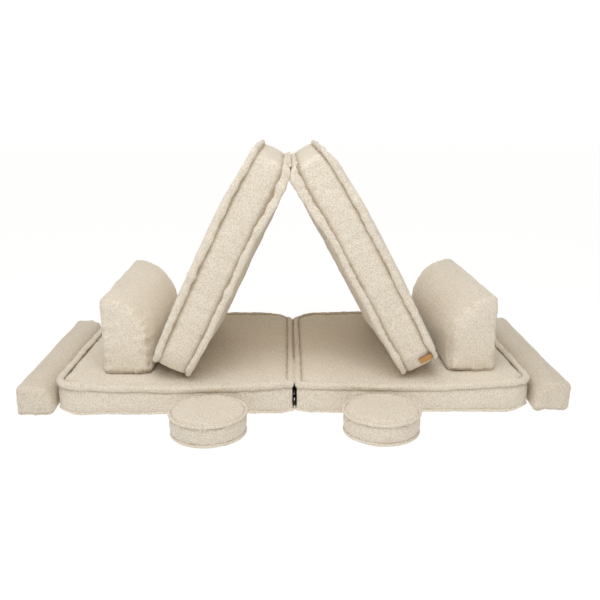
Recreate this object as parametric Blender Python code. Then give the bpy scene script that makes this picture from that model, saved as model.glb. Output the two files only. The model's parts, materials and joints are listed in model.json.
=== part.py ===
"""Modular foam play sofa: ten loose foam pieces in zipped, piped boucle covers.

Two folding mats of two halves each make the base and the tent that stands on it.
Two tall quarter-round bolsters stand beside the tent, two low half-round
bolsters lie beside the base and two round cushions lie in front of it.
Metres, +Z up. The front faces -Y, and the origin is under the middle.
"""

import math

import bmesh
import bpy
from mathutils import Matrix

# Clearance between pieces that touch, and how far a cutter runs past a wall
GAP = 0.0004
OVERRUN = 0.006

# Cover fabric with its lining
COVER_WALL = 0.003

# Mats. Width runs from the hinge cord to the free end of one half. The base
# lies pressed a little flatter than the tent.
MAT_WIDTH = 0.800
MAT_DEPTH = 0.834
BASE_THICKNESS = 0.116
TENT_THICKNESS = 0.127
MAT_CROWN = 0.003
MAT_SHOULDER = 0.045
MAT_PLATEAU = 0.120
MAT_END_CORNER = 0.075
MAT_HINGE_CORNER = 0.030
MAT_BAND_INSET = 0.002
MAT_PIPING = 0.012
END_CORNER_STEPS = 4
HINGE_CORNER_STEPS = 2

# The tent stands on the base. Its left half is a little short, so it leans less.
TENT_SHORTFALL = 0.015
TENT_LEFT_LEAN = math.radians(26.0)
TENT_SETBACK = 0.008
TENT_SHIFT = 0.010

# Tall bolsters, quarter-round towards the tent
TALL_WIDTH = 0.174
TALL_HEIGHT = 0.265
TALL_LENGTH = 0.690
TALL_BACK_RADIUS = 0.030
TALL_SETBACK = 0.090
TALL_LEFT_TENT_GAP = 0.0127
TALL_RIGHT_TENT_GAP = 0.0432
TALL_RIGHT_TURN = math.radians(1.5)
TALL_ROUND_STEPS = 8

# Low bolsters, half-round
LOW_WIDTH = 0.130
LOW_HEIGHT = 0.112
LOW_LENGTH = 0.780
LOW_ROUND_STEPS = 12

# Both kinds of bolster
BOLSTER_FOOT_RADIUS = 0.013
BOLSTER_EDGE = 0.010
BOLSTER_END_CROWN = 0.004
BOLSTER_CROWN_SHARE = 0.5
BOLSTER_EASE_SHARE = 0.3

# Round cushions
ROUND_RADIUS = 0.125
ROUND_HEIGHT = 0.075
ROUND_CROWN = 0.006
ROUND_PIPING = 0.005
ROUND_BAND_INSET = 0.0015
ROUND_CLEARANCE = 0.003
ROUND_FROM_MIDDLE = 0.272
ROUND_STEPS = 28

# Zips: a slot in the cover, a tape with its teeth in the slot, and a slider
ZIP_SLOT = 0.009
ZIP_TAPE = 0.0016
ZIP_TAPE_SINK = 0.0006
ZIP_TEETH = 0.0034
ZIP_TEETH_PROUD = 0.0008
ZIP_END_ROOM = 0.130
BOLSTER_ZIP_END_ROOM = 0.090
BOLSTER_ZIP_HEIGHT = 0.030
SLIDER_WIDTH = 0.009
SLIDER_LENGTH = 0.012
SLIDER_THICKNESS = 0.0024
PULL_WIDTH = 0.0052
PULL_LENGTH = 0.020
ROUND_ZIP_HALF_STEPS = 5

# Bare leather tag on the tent's right half
TAG_LENGTH = 0.042
TAG_WIDTH = 0.022
TAG_THICKNESS = 0.0015
TAG_CENTRE_SHARE = 0.70

# Angles round a piping, seen from its centre: 0 points into the mat, 90 up.
# The cover is hollowed along the angles that face it.
ROUND_STEP = math.radians(360) / ROUND_STEPS
MAT_PIPING_ANGLES = [math.radians(-60 + 45 * k) for k in range(8)]
MAT_HOLLOW_ANGLES = MAT_PIPING_ANGLES[:5]
ROUND_PIPING_ANGLES = [math.radians(-60 + 60 * k) for k in range(6)]
ROUND_HOLLOW_ANGLES = ROUND_PIPING_ANGLES[:4]


def clear_scene():
    for old in list(bpy.data.objects):
        bpy.data.objects.remove(old, do_unlink=True)


def material(name, colour, roughness, metallic=0.0):
    made = bpy.data.materials.new(name)
    made.use_nodes = True
    shader = made.node_tree.nodes["Principled BSDF"]
    shader.inputs["Base Color"].default_value = (*colour, 1.0)
    shader.inputs["Roughness"].default_value = roughness
    shader.inputs["Metallic"].default_value = metallic
    made.diffuse_color = (*colour, 1.0)
    return made


def make_materials():
    return {
        "boucle": material("boucle", (0.76, 0.69, 0.59), 0.95),
        "piping": material("piping", (0.80, 0.73, 0.63), 0.95),
        "foam": material("foam", (0.85, 0.81, 0.66), 0.90),
        "tape": material("tape", (0.62, 0.55, 0.46), 0.80),
        "slider": material("slider", (0.60, 0.59, 0.57), 0.35, 1.0),
        "leather": material("leather", (0.42, 0.22, 0.07), 0.55),
        "cord": material("cord", (0.70, 0.63, 0.53), 0.95),
    }


def empty(name, parent=None, place=Matrix.Identity(4)):
    made = bpy.data.objects.new(name, None)
    bpy.context.scene.collection.objects.link(made)
    made.parent = parent
    made.matrix_local = place
    return made


def piece(name, bm, parent, look, place=Matrix.Identity(4)):
    """Turns a bmesh into a named object with its faces pointing out."""
    bmesh.ops.recalc_face_normals(bm, faces=bm.faces)
    mesh = bpy.data.meshes.new(name)
    bm.to_mesh(mesh)
    bm.free()
    made = bpy.data.objects.new(name, mesh)
    bpy.context.scene.collection.objects.link(made)
    made.parent = parent
    made.matrix_local = place
    if look is not None:
        mesh.materials.append(look)
        mesh.shade_smooth()
        mesh.set_sharp_from_angle(angle=math.radians(40))
    return made


def cutter(name, bm, parent, place=Matrix.Identity(4)):
    made = piece(name, bm, parent, None, place)
    made.hide_render = True
    made.display_type = "WIRE"
    return made


def cut(target, *cutters):
    for tool in cutters:
        boolean = target.modifiers.new(tool.name, "BOOLEAN")
        boolean.operation = "DIFFERENCE"
        boolean.solver = "EXACT"
        boolean.object = tool


def loft(rings, closed=False):
    """Skins rings of points in order. An open loft is capped at both ends."""
    bm = bmesh.new()
    rows = [[bm.verts.new(p) for p in ring] for ring in rings]
    pairs = list(zip(rows, rows[1:]))
    if closed:
        pairs.append((rows[-1], rows[0]))
    for low, high in pairs:
        for k in range(len(low)):
            j = (k + 1) % len(low)
            bm.faces.new((low[k], low[j], high[j], high[k]))
    if not closed:
        bm.faces.new(rows[0])
        bm.faces.new(rows[-1])
    return bm


def box(low, high):
    x0, y0, z0 = low
    x1, y1, z1 = high
    corners = [(x0, y0), (x1, y0), (x1, y1), (x0, y1)]
    return loft([[(x, y, z) for x, y in corners] for z in (z0, z1)])


def arc(centre, radius, start, stop, steps):
    """Points on an arc in degrees, both ends included."""
    turns = [math.radians(start + (stop - start) * k / steps) for k in range(steps + 1)]
    return [(centre[0] + radius * math.cos(t), centre[1] + radius * math.sin(t)) for t in turns]


def shrink(outline, inset):
    """Moves each side of a convex outline inwards by the same distance."""
    sides = []
    for k, (x, y) in enumerate(outline):
        nx, ny = outline[(k + 1) % len(outline)]
        length = math.hypot(nx - x, ny - y)
        dx, dy = (nx - x) / length, (ny - y) / length
        sides.append((x - dy * inset, y + dx * inset, dx, dy))
    moved = []
    for k, (x1, y1, dx1, dy1) in enumerate(sides):
        x0, y0, dx0, dy0 = sides[k - 1]
        along = ((x1 - x0) * dy1 - (y1 - y0) * dx1) / (dx0 * dy1 - dy0 * dx1)
        moved.append((x0 + along * dx0, y0 + along * dy0))
    return moved


# Edge profiles, as (inset from the outline, height over the face) from the
# middle of the face out to the band. The piping lies in the hollow.


def cover_edge(piping, angles, crown, shoulder, plateau):
    reach = piping + GAP
    hollow = [(piping + reach * math.cos(a), piping + reach * math.sin(a)) for a in angles]
    return [(plateau, -crown), (shoulder, -crown / 2)] + hollow


def lining_edge(piping, crown, plateau, band_inset, room):
    """The hollow inside a cover, one wall in, or the foam with a gap more."""
    reach = piping + GAP
    wall = COVER_WALL + room
    return [
        (plateau, wall - crown),
        (piping + reach + wall, wall + GAP),
        (piping + reach + wall, piping + reach / 2 + room),
        (band_inset + COVER_WALL + wall, 3 * piping + room),
    ]


def whole_profile(low, band_inset, high, thickness):
    """Low face, middle of the band, high face, as (inset, height)."""
    top = [(inset, thickness - z) for inset, z in reversed(high)]
    return low + [(band_inset, thickness / 2)] + top


def mat_outline(width, inset):
    """A mat half from above: small corners at the hinge, large ones at the end."""
    left, right = inset, width - inset
    front, back = inset, MAT_DEPTH - inset
    end = MAT_END_CORNER - inset
    hinge = MAT_HINGE_CORNER - inset
    points = []
    points += arc((left + hinge, front + hinge), hinge, 180, 270, HINGE_CORNER_STEPS)
    points += arc((right - end, front + end), end, 270, 360, END_CORNER_STEPS)
    points += arc((right - end, back - end), end, 0, 90, END_CORNER_STEPS)
    points += arc((left + hinge, back - hinge), hinge, 90, 180, HINGE_CORNER_STEPS)
    return points


def inner_outline(width, inset):
    """Inside the corner radii the outline keeps its smallest corners."""
    limit = 2 * MAT_PIPING + GAP
    if inset <= limit:
        return mat_outline(width, inset)
    middle_x, middle_y = width / 2, MAT_DEPTH / 2
    reach_x = (middle_x - inset) / (middle_x - limit)
    reach_y = (middle_y - inset) / (middle_y - limit)
    return [
        (middle_x + (x - middle_x) * reach_x, middle_y + (y - middle_y) * reach_y)
        for x, y in mat_outline(width, limit)
    ]


def mat_rings(width, side, floor, profile):
    return [
        [(side * x, y, floor + z) for x, y in inner_outline(width, inset)]
        for inset, z in profile
    ]


def mat_piping_rings(width, side, height, flip):
    """Rings round one face's edge. A flip mirrors its facets for the far face."""
    return [
        [
            (side * x, y, height + flip * MAT_PIPING * math.sin(a))
            for x, y in mat_outline(width, MAT_PIPING + MAT_PIPING * math.cos(a))
        ]
        for a in MAT_PIPING_ANGLES
    ]


def mat_half(name, parent, looks, side, floor, width, thickness, low_crown, high_crown):
    """Foam, cover, two pipings and a zip in the rear band of one mat half."""
    covers = [
        cover_edge(MAT_PIPING, MAT_HOLLOW_ANGLES, crown, MAT_SHOULDER, MAT_PLATEAU)
        for crown in (low_crown, high_crown)
    ]
    outer = whole_profile(covers[0], MAT_BAND_INSET, covers[1], thickness)
    cover = piece(name + "_cover", loft(mat_rings(width, side, floor, outer)), parent, looks["boucle"])
    inside = []
    for room in (0, GAP):
        edges = [
            lining_edge(MAT_PIPING, crown, MAT_PLATEAU, MAT_BAND_INSET, room)
            for crown in (low_crown, high_crown)
        ]
        band = MAT_BAND_INSET + COVER_WALL + room
        profile = whole_profile(edges[0], band, edges[1], thickness)
        inside.append(loft(mat_rings(width, side, floor, profile)))
    hollow = cutter(name + "_hollow", inside[0], parent)
    piece(name + "_foam", inside[1], parent, looks["foam"])
    heights = (("low", floor + MAT_PIPING, 1), ("high", floor + thickness - MAT_PIPING, -1))
    for end, height, flip in heights:
        rings = mat_piping_rings(width, side, height, flip)
        piece(f"{name}_piping_{end}", loft(rings, closed=True), parent, looks["piping"])
    length = width - 2 * ZIP_END_ROOM
    face = MAT_DEPTH - MAT_BAND_INSET
    middle = Matrix.Translation((side * width / 2, face, floor + thickness / 2))
    place = middle @ Matrix.Rotation(math.radians(180), 4, "Z")
    if side > 0:
        place = place @ Matrix.Rotation(math.radians(180), 4, "Y")
    slot = straight_zip(name, parent, looks, place, length)
    cut(cover, hollow, slot)


def slider_outline():
    """A zip slider with its flat pull, from above, the pull towards -X."""
    half_length, half_width = SLIDER_LENGTH / 2, SLIDER_WIDTH / 2
    nose = half_width / 2
    pull = PULL_WIDTH / 2
    far = -half_length - PULL_LENGTH
    return [
        (-half_length, -nose),
        (0, -half_width),
        (half_length, -half_width),
        (half_length, half_width),
        (0, half_width),
        (-half_length, nose),
        (-half_length - nose, pull / 2),
        (far + pull, pull),
        (far, pull / 2),
        (far, -pull / 2),
        (far + pull, -pull),
        (-half_length - nose, -pull / 2),
    ]


def slider_bm(lift):
    outline = slider_outline()
    return loft([[(x, -lift - h, z) for x, z in outline] for h in (0, SLIDER_THICKNESS)])


def straight_zip(name, parent, looks, place, length):
    """A zip along local X whose cover face looks to -Y. It is closed with the
    slider at the +X end. Returns the cutter of its slot."""
    half = length / 2
    slot = ZIP_SLOT / 2
    deep = COVER_WALL + OVERRUN
    opening = box((-half, -OVERRUN, -slot), (half, deep, slot))
    tape = slot - GAP
    teeth = ZIP_TEETH / 2
    back = ZIP_TAPE_SINK + ZIP_TAPE
    section = [
        (back, -tape),
        (ZIP_TAPE_SINK, -tape),
        (ZIP_TAPE_SINK, -teeth),
        (-ZIP_TEETH_PROUD, -teeth),
        (-ZIP_TEETH_PROUD, teeth),
        (ZIP_TAPE_SINK, teeth),
        (ZIP_TAPE_SINK, tape),
        (back, tape),
    ]
    ends = (GAP - half, half - GAP)
    piece(name + "_zip_tape", loft([[(x, y, z) for y, z in section] for x in ends]), parent, looks["tape"], place)
    start = place @ Matrix.Translation((half - SLIDER_LENGTH, 0, 0))
    seat = empty(name + "_slider_seat", parent, start)
    piece(name + "_zip_slider", slider_bm(ZIP_TEETH_PROUD + GAP), seat, looks["slider"])
    return cutter(name + "_slot", opening, parent, place)


def base_top():
    return BASE_THICKNESS + MAT_CROWN


def make_base(root, looks):
    """Two halves lie flat with their hinge cord along the top, and stay put."""
    base = empty("base", root, Matrix.Translation((0, 0, BASE_THICKNESS)))
    for name, side in (("base_left", -1), ("base_right", 1)):
        mat_half(name, base, looks, side, -BASE_THICKNESS, MAT_WIDTH, BASE_THICKNESS, 0, MAT_CROWN)
    hinge_cord("base_hinge_cord", base, looks)


def hinge_cord(name, parent, looks):
    """The corded seam that joins two halves, on their hinge line. It fills the
    room between that line and the nearest flat of the two pipings."""
    nearest = MAT_PIPING_ANGLES[6] + math.radians(45 / 2) - math.radians(225)
    radius = math.hypot(MAT_PIPING, MAT_PIPING) * math.cos(nearest) - MAT_PIPING * math.cos(math.radians(45 / 2)) - GAP
    ends = (MAT_HINGE_CORNER, MAT_DEPTH - MAT_HINGE_CORNER)
    ring = arc((0, 0), radius, 0, 330, 11)
    piece(name, loft([[(x, y, z) for x, z in ring] for y in ends]), parent, looks["cord"])


def foot_drop(width, lean):
    """How far below its hinge line a leaning half's lowest piping reaches."""
    return (width - MAT_PIPING) * math.cos(lean) - MAT_PIPING * math.sin(lean) + MAT_PIPING


def right_lean():
    """The lean at which the right half reaches as low as the left one."""
    drop = foot_drop(MAT_WIDTH - TENT_SHORTFALL, TENT_LEFT_LEAN) - MAT_PIPING
    span = math.hypot(MAT_WIDTH - MAT_PIPING, MAT_PIPING)
    return math.acos(drop / span) - math.atan2(MAT_PIPING, MAT_WIDTH - MAT_PIPING)


def make_tent(root, looks):
    """Two halves lean together, hinged on the inner edges at the top."""
    left_width = MAT_WIDTH - TENT_SHORTFALL
    height = base_top() + GAP + foot_drop(left_width, TENT_LEFT_LEAN)
    tent = empty("tent", root, Matrix.Translation((-TENT_SHIFT, TENT_SETBACK, height)))
    hinge_cord("tent_hinge_cord", tent, looks)
    upright = math.radians(90)
    halves = (("tent_left", -1, left_width, TENT_LEFT_LEAN), ("tent_right", 1, MAT_WIDTH, right_lean()))
    for name, side, width, lean in halves:
        turn = Matrix.Rotation(side * (upright - lean), 4, "Y")
        half = empty(name, tent, turn)
        mat_half(name, half, looks, side, 0, width, TENT_THICKNESS, MAT_CROWN, MAT_CROWN)
        if side > 0:
            make_tag(half, looks)


def make_tag(parent, looks):
    """A bare tag on the second flat of the front corner at the free end."""
    corner = MAT_END_CORNER - MAT_BAND_INSET
    step = math.radians(90 / END_CORNER_STEPS)
    flat = corner * math.cos(step / 2)
    turn = 1.5 * step
    middle = Matrix.Translation((MAT_WIDTH - MAT_END_CORNER, MAT_END_CORNER, TENT_THICKNESS * TAG_CENTRE_SHARE))
    place = middle @ Matrix.Rotation(turn, 4, "Z")
    tag = box(
        (-TAG_WIDTH / 2, -flat - GAP - TAG_THICKNESS, -TAG_LENGTH / 2),
        (TAG_WIDTH / 2, -flat - GAP, TAG_LENGTH / 2),
    )
    piece("leather_tag", tag, parent, looks["leather"], place)


def tall_outline():
    """Seen from the front with the back face at 0 and the round side at +X.
    The great arc is as wide as the bolster, and a small one eases its corner."""
    foot = BOLSTER_FOOT_RADIUS
    back = TALL_BACK_RADIUS
    spring = TALL_HEIGHT - TALL_WIDTH
    rise = math.sqrt((TALL_WIDTH - back) ** 2 - back**2)
    meet = math.degrees(math.atan2(rise, back))
    points = arc((foot, foot), foot, 180, 270, 2)
    points += arc((TALL_WIDTH - foot, foot), foot, 270, 360, 2)
    points += arc((0, spring), TALL_WIDTH, 0, meet, TALL_ROUND_STEPS)
    points += arc((back, spring + rise), back, meet, 180, 3)[1:]
    return points


def low_outline():
    foot = BOLSTER_FOOT_RADIUS
    radius = LOW_WIDTH / 2
    points = arc((foot, foot), foot, 180, 270, 2)
    points += arc((LOW_WIDTH - foot, foot), foot, 270, 360, 2)
    points += arc((radius, LOW_HEIGHT - radius), radius, 0, 180, LOW_ROUND_STEPS)
    return points


def bolster_rings(outline, length, side, steps):
    """Rings from front to back. A step is (distance in from the end, inset,
    share of the ring's size that is kept about its middle)."""
    ends = []
    for depth, inset, share in steps:
        ring = shrink(outline, inset)
        middle_x = sum(x for x, z in ring) / len(ring)
        middle_z = sum(z for x, z in ring) / len(ring)
        kept = [(middle_x + (x - middle_x) * share, middle_z + (z - middle_z) * share) for x, z in ring]
        ends.append((depth, kept))
    rings = [[(side * x, depth, z) for x, z in ring] for depth, ring in ends]
    rings += [[(side * x, length - depth, z) for x, z in ring] for depth, ring in reversed(ends)]
    return loft(rings)


def bolster(name, parent, looks, outline, length, side):
    """Foam, cover and a zip low on the flat back, which lies at local X 0."""
    edge = BOLSTER_EDGE
    crown = BOLSTER_END_CROWN
    ease = edge * BOLSTER_EASE_SHARE
    outer = [(0, edge, BOLSTER_CROWN_SHARE), (crown, edge, 1), (crown + ease, ease, 1), (crown + edge, 0, 1)]
    cover = piece(name + "_cover", bolster_rings(outline, length, side, outer), parent, looks["boucle"])
    wall = COVER_WALL
    lining = [(crown + wall, edge + wall, 1), (crown + edge + wall, wall, 1)]
    hollow = cutter(name + "_hollow", bolster_rings(outline, length, side, lining), parent)
    filled = [(depth + GAP, inset + GAP, 1) for depth, inset, share in lining]
    piece(name + "_foam", bolster_rings(outline, length, side, filled), parent, looks["foam"])
    middle = Matrix.Translation((0, length / 2, BOLSTER_ZIP_HEIGHT))
    place = middle @ Matrix.Rotation(math.radians(-90), 4, "Z")
    if side < 0:
        place = middle @ Matrix.Rotation(math.radians(90), 4, "Z") @ Matrix.Rotation(math.radians(180), 4, "Y")
    slot = straight_zip(name, parent, looks, place, length - 2 * BOLSTER_ZIP_END_ROOM)
    cut(cover, hollow, slot)


def tent_reach(width, lean):
    """How far a leaning half's outer foot lies from the hinge line."""
    return width * math.sin(lean) + TENT_THICKNESS * math.cos(lean)


def make_tall_bolsters(root, looks):
    """Round sides face the tent's feet. The right one is turned a little."""
    height = base_top() + GAP
    left_reach = tent_reach(MAT_WIDTH - TENT_SHORTFALL, TENT_LEFT_LEAN) + TENT_SHIFT
    right_reach = tent_reach(MAT_WIDTH, right_lean()) - TENT_SHIFT
    places = (
        ("tall_bolster_left", 1, left_reach + TALL_LEFT_TENT_GAP, 0),
        ("tall_bolster_right", -1, right_reach + TALL_RIGHT_TENT_GAP, TALL_RIGHT_TURN),
    )
    for name, side, inner, turn in places:
        x = -side * (inner + TALL_WIDTH)
        place = Matrix.Translation((x, TALL_SETBACK, height)) @ Matrix.Rotation(turn, 4, "Z")
        body = empty(name, root, place)
        bolster(name, body, looks, tall_outline(), TALL_LENGTH, side)


def make_low_bolsters(root, looks):
    for name, side in (("low_bolster_left", 1), ("low_bolster_right", -1)):
        x = -side * (MAT_WIDTH + GAP + LOW_WIDTH)
        body = empty(name, root, Matrix.Translation((x, 0, 0)))
        bolster(name, body, looks, low_outline(), LOW_LENGTH, side)


def circle(radius, height):
    angles = [math.radians(90) + ROUND_STEP * k for k in range(ROUND_STEPS)]
    return [(radius * math.cos(a), radius * math.sin(a), height) for a in angles]


def round_rings(profile):
    return [circle(ROUND_RADIUS - inset, z) for inset, z in profile]


def sector(inner, outer, low, high, half_angle):
    """A block bent along the cushion's facets, about +Y, between two radii."""
    middle = math.radians(90)
    rings = []
    for k in range(-ROUND_ZIP_HALF_STEPS, ROUND_ZIP_HALF_STEPS + 1):
        turn = middle + half_angle * k / ROUND_ZIP_HALF_STEPS
        corners = [(inner, low), (outer, low), (outer, high), (inner, high)]
        rings.append([(r * math.cos(turn), r * math.sin(turn), z) for r, z in corners])
    return loft(rings)


def round_cushion(name, parent, looks):
    """Foam, cover, two pipings and a zip round the back of the band."""
    plateau, shoulder = ROUND_RADIUS * 0.7, ROUND_RADIUS * 0.25
    covers = [
        cover_edge(ROUND_PIPING, ROUND_HOLLOW_ANGLES, crown, shoulder, plateau)
        for crown in (0, ROUND_CROWN)
    ]
    outer = whole_profile(covers[0], ROUND_BAND_INSET, covers[1], ROUND_HEIGHT)
    cover = piece(name + "_cover", loft(round_rings(outer)), parent, looks["boucle"])
    inside = []
    for room in (0, GAP):
        edges = [
            lining_edge(ROUND_PIPING, crown, plateau, ROUND_BAND_INSET, room)
            for crown in (0, ROUND_CROWN)
        ]
        band = ROUND_BAND_INSET + COVER_WALL + room
        inside.append(loft(round_rings(whole_profile(edges[0], band, edges[1], ROUND_HEIGHT))))
    hollow = cutter(name + "_hollow", inside[0], parent)
    piece(name + "_foam", inside[1], parent, looks["foam"])
    for end, height in (("low", ROUND_PIPING), ("high", ROUND_HEIGHT - ROUND_PIPING)):
        rings = [
            circle(ROUND_RADIUS - ROUND_PIPING * (1 + math.cos(a)), height + ROUND_PIPING * math.sin(a))
            for a in ROUND_PIPING_ANGLES
        ]
        piece(f"{name}_piping_{end}", loft(rings, closed=True), parent, looks["piping"])
    slot = round_zip(name, parent, looks)
    cut(cover, hollow, slot)


def round_zip(name, parent, looks):
    """A zip bent round the back. The slider turns about the cushion's axis."""
    band = ROUND_RADIUS - ROUND_BAND_INSET
    middle = ROUND_HEIGHT / 2
    slot = ZIP_SLOT / 2
    half_angle = ROUND_ZIP_HALF_STEPS * ROUND_STEP
    opening = sector(band - COVER_WALL - OVERRUN, band + OVERRUN, middle - slot, middle + slot, half_angle)
    tape = slot - GAP
    outer = band - ZIP_TAPE_SINK
    room = GAP / ROUND_RADIUS
    strip = sector(outer - ZIP_TAPE, outer, middle - tape, middle + tape, half_angle - room)
    piece(name + "_zip_tape", strip, parent, looks["tape"])
    start = Matrix.Rotation(math.radians(180) + ROUND_STEP - half_angle, 4, "Z")
    seat = empty(name + "_slider_seat", parent, start)
    lift = band + GAP
    bend = Matrix.Translation((0, 0, middle))
    piece(name + "_zip_slider", slider_bm(lift), seat, looks["slider"], bend)
    return cutter(name + "_slot", opening, parent)


def make_round_cushions(root, looks):
    y = -ROUND_RADIUS - ROUND_CLEARANCE
    for name, side in (("round_cushion_left", -1), ("round_cushion_right", 1)):
        body = empty(name, root, Matrix.Translation((side * ROUND_FROM_MIDDLE, y, 0)))
        round_cushion(name, body, looks)


def middle_depth():
    """Halfway between the cushions' fronts and the tent's zip sliders."""
    front = -2 * ROUND_RADIUS - ROUND_CLEARANCE
    proud = ZIP_TEETH_PROUD + GAP + SLIDER_THICKNESS - MAT_BAND_INSET
    back = TENT_SETBACK + MAT_DEPTH + proud
    return (front + back) / 2


def main():
    clear_scene()
    looks = make_materials()
    root = empty("play_sofa", None, Matrix.Translation((0, -middle_depth(), 0)))
    make_base(root, looks)
    make_tent(root, looks)
    make_tall_bolsters(root, looks)
    make_low_bolsters(root, looks)
    make_round_cushions(root, looks)


main()
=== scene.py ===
"""Finishes the modular foam play sofa: padded boucle covers, rolled seams, zips and a bare tag.

The frame gives every place. A mat's half is made in its own frame, with x from the hinge to the
free end, y from the front to the back and z from the low face to the high one, and a bolster with
x from its back to its round side. Both are then put where the frame has them. Metres, +Z up, and
the front faces -Y.
"""

import json
import math

import bmesh
import bpy
import numpy as np
from bpy.props import FloatProperty, FloatVectorProperty, IntProperty, PointerProperty
from mathutils import Matrix, Vector

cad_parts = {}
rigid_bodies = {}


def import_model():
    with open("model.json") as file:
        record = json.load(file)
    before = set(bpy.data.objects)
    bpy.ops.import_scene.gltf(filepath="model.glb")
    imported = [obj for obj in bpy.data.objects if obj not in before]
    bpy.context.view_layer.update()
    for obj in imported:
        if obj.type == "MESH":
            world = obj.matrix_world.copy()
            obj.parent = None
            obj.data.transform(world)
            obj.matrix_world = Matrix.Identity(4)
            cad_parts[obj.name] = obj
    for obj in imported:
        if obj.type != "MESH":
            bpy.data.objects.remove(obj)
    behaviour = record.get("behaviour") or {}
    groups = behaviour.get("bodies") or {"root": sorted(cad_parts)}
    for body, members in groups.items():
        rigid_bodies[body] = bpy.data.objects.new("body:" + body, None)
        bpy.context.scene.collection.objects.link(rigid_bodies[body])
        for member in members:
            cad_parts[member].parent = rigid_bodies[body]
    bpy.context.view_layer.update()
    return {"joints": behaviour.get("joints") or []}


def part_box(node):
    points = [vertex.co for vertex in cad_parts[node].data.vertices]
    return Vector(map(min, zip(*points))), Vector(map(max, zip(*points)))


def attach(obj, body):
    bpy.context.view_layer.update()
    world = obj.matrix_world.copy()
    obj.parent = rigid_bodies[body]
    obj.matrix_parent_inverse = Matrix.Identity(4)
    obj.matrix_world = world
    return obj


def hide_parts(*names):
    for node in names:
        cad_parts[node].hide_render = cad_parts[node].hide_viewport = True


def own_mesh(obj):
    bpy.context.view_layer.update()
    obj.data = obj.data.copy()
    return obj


bl_info = {
    "name": "Foam play sofa finishes",
    "version": (1, 0, 0),
    "blender": (4, 5, 0),
    "location": "3D View > Sidebar > Play sofa",
    "description": "Models the padded covers, seams and zips of a modular foam play sofa",
    "category": "Object",
}

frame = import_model()

MM = 0.001

# The mats. A half's outer faces lie where the frame has its pipings.
MAT_WIDTH = 0.800
MAT_DEPTH = 0.834
MAT_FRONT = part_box("base_right_cover")[0].y - 2 * MM
BASE_THICKNESS = 0.116
TENT_THICKNESS = 0.127
TENT_LEFT_WIDTH = 0.785
TENT_LEFT_LEAN = math.radians(26.0)
TENT_RIGHT_LEAN = math.radians(28.0935)
END_CORNER = 0.075
HINGE_CORNER = 0.020
ROLL = 0.012
CORD = 0.003

# The loose pieces
TALL_WIDTH, TALL_HEIGHT, TALL_LENGTH = 0.174, 0.265, 0.690
LOW_WIDTH, LOW_HEIGHT, LOW_LENGTH = 0.130, 0.112, 0.780
ROUND_RADIUS = 0.125
ROUND_HEIGHT = 0.075
ROUND_ROLL = 0.005
# Radii of a bolster's arch towards the tent, and of its eased edge along the back
TALL_ARCH, TALL_EASED = 0.158, 0.020
LOW_ARCH, LOW_EASED = 0.062, 0.024
TALL_SETBACK = 0.090
TALL_RIGHT_BACK = 0.696

# The zips. A zip's own frame has x along it, y out of the cover with 0 at the cover's face, and
# z across it. Its tape lies sunk between two lips of fabric, and the slider runs on the lips.
MAT_BAND_INSET = 2 * MM
MAT_ZIP_END_ROOM = 0.130
BOLSTER_ZIP_END_ROOM = 0.090
BOLSTER_ZIP_HEIGHT = 0.030
ROUND_BAND_INSET = 1.5 * MM
ROUND_ZIP_REACH = math.radians(64.3)
TAPE_WIDTH = 8.2 * MM
TAPE_FACE = -0.6 * MM
TAPE_THICKNESS = 1.6 * MM
TEETH_WIDTH = 3.4 * MM
TEETH_PROUD = 0.8 * MM
# The real coil has a tooth every 1.5 mm. It is drawn coarser so that the teeth show.
TEETH_STEP = 2.4 * MM
LIP_INNER, LIP_OUTER = 2.6 * MM, 9.5 * MM

# The bare tag, sewn round the front corner of the tent's right half
TAG_LENGTH = 42 * MM
TAG_WIDTH = 25 * MM
TAG_THICKNESS = 1.5 * MM
TAG_HEIGHT_SHARE = 0.70
TAG_TURN = math.radians(28)
TAG_RADIUS = 74.8 * MM

# The photograph's camera
PHOTO_PIXELS = 600
FOCAL_PIXELS = 700
CAMERA_PITCH = math.radians(14.522)
CAMERA_YAW = math.radians(1.015)
CAMERA_ROLL = math.radians(-0.083)
CAMERA_PLACE = (-0.02, MAT_FRONT - 2.163, 0.955)


def linear(hex_colour):
    """A colour such as E8DFD0 as linear red, green and blue."""
    values = [int(hex_colour[k : k + 2], 16) / 255 for k in (0, 2, 4)]
    return tuple(v / 12.92 if v <= 0.04045 else ((v + 0.055) / 1.055) ** 2.4 for v in values)


def colour_choice(name, about, hex_colour):
    return FloatVectorProperty(name=name, description=about, subtype="COLOR", default=linear(hex_colour))


def size_choice(name, about, default):
    return FloatProperty(name=name, description=about, subtype="DISTANCE", default=default)


def power_choice(name, about, default):
    return FloatProperty(name=name, description=about, subtype="POWER", default=default)


class BoucleSettings(bpy.types.PropertyGroup):
    loop: colour_choice("Loop colour", "Tops of the wool loops", "EDE4D5")
    # The ground colour darkens the gaps between the loops: painted shade in the gaps.
    ground: colour_choice("Ground colour", "Knit between the loops", "DACDB9")
    # The seam colour stands for parted pile along seams, and for painted shade in creases, slots, the hinge
    # valley and over the low bolsters.
    seam: colour_choice("Seam colour", "Parted pile along a seam", "8F7A58")
    loop_size: size_choice("Loop size", "Distance between loops", 4.3 * MM)
    loop_height: size_choice("Loop height", "How far a loop stands up", 1.8 * MM)
    tuft_size: size_choice("Tuft size", "Size of the lumps that show in outline", 11 * MM)
    tuft_height: size_choice("Tuft height", "Height of those lumps", 1.8 * MM)


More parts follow.
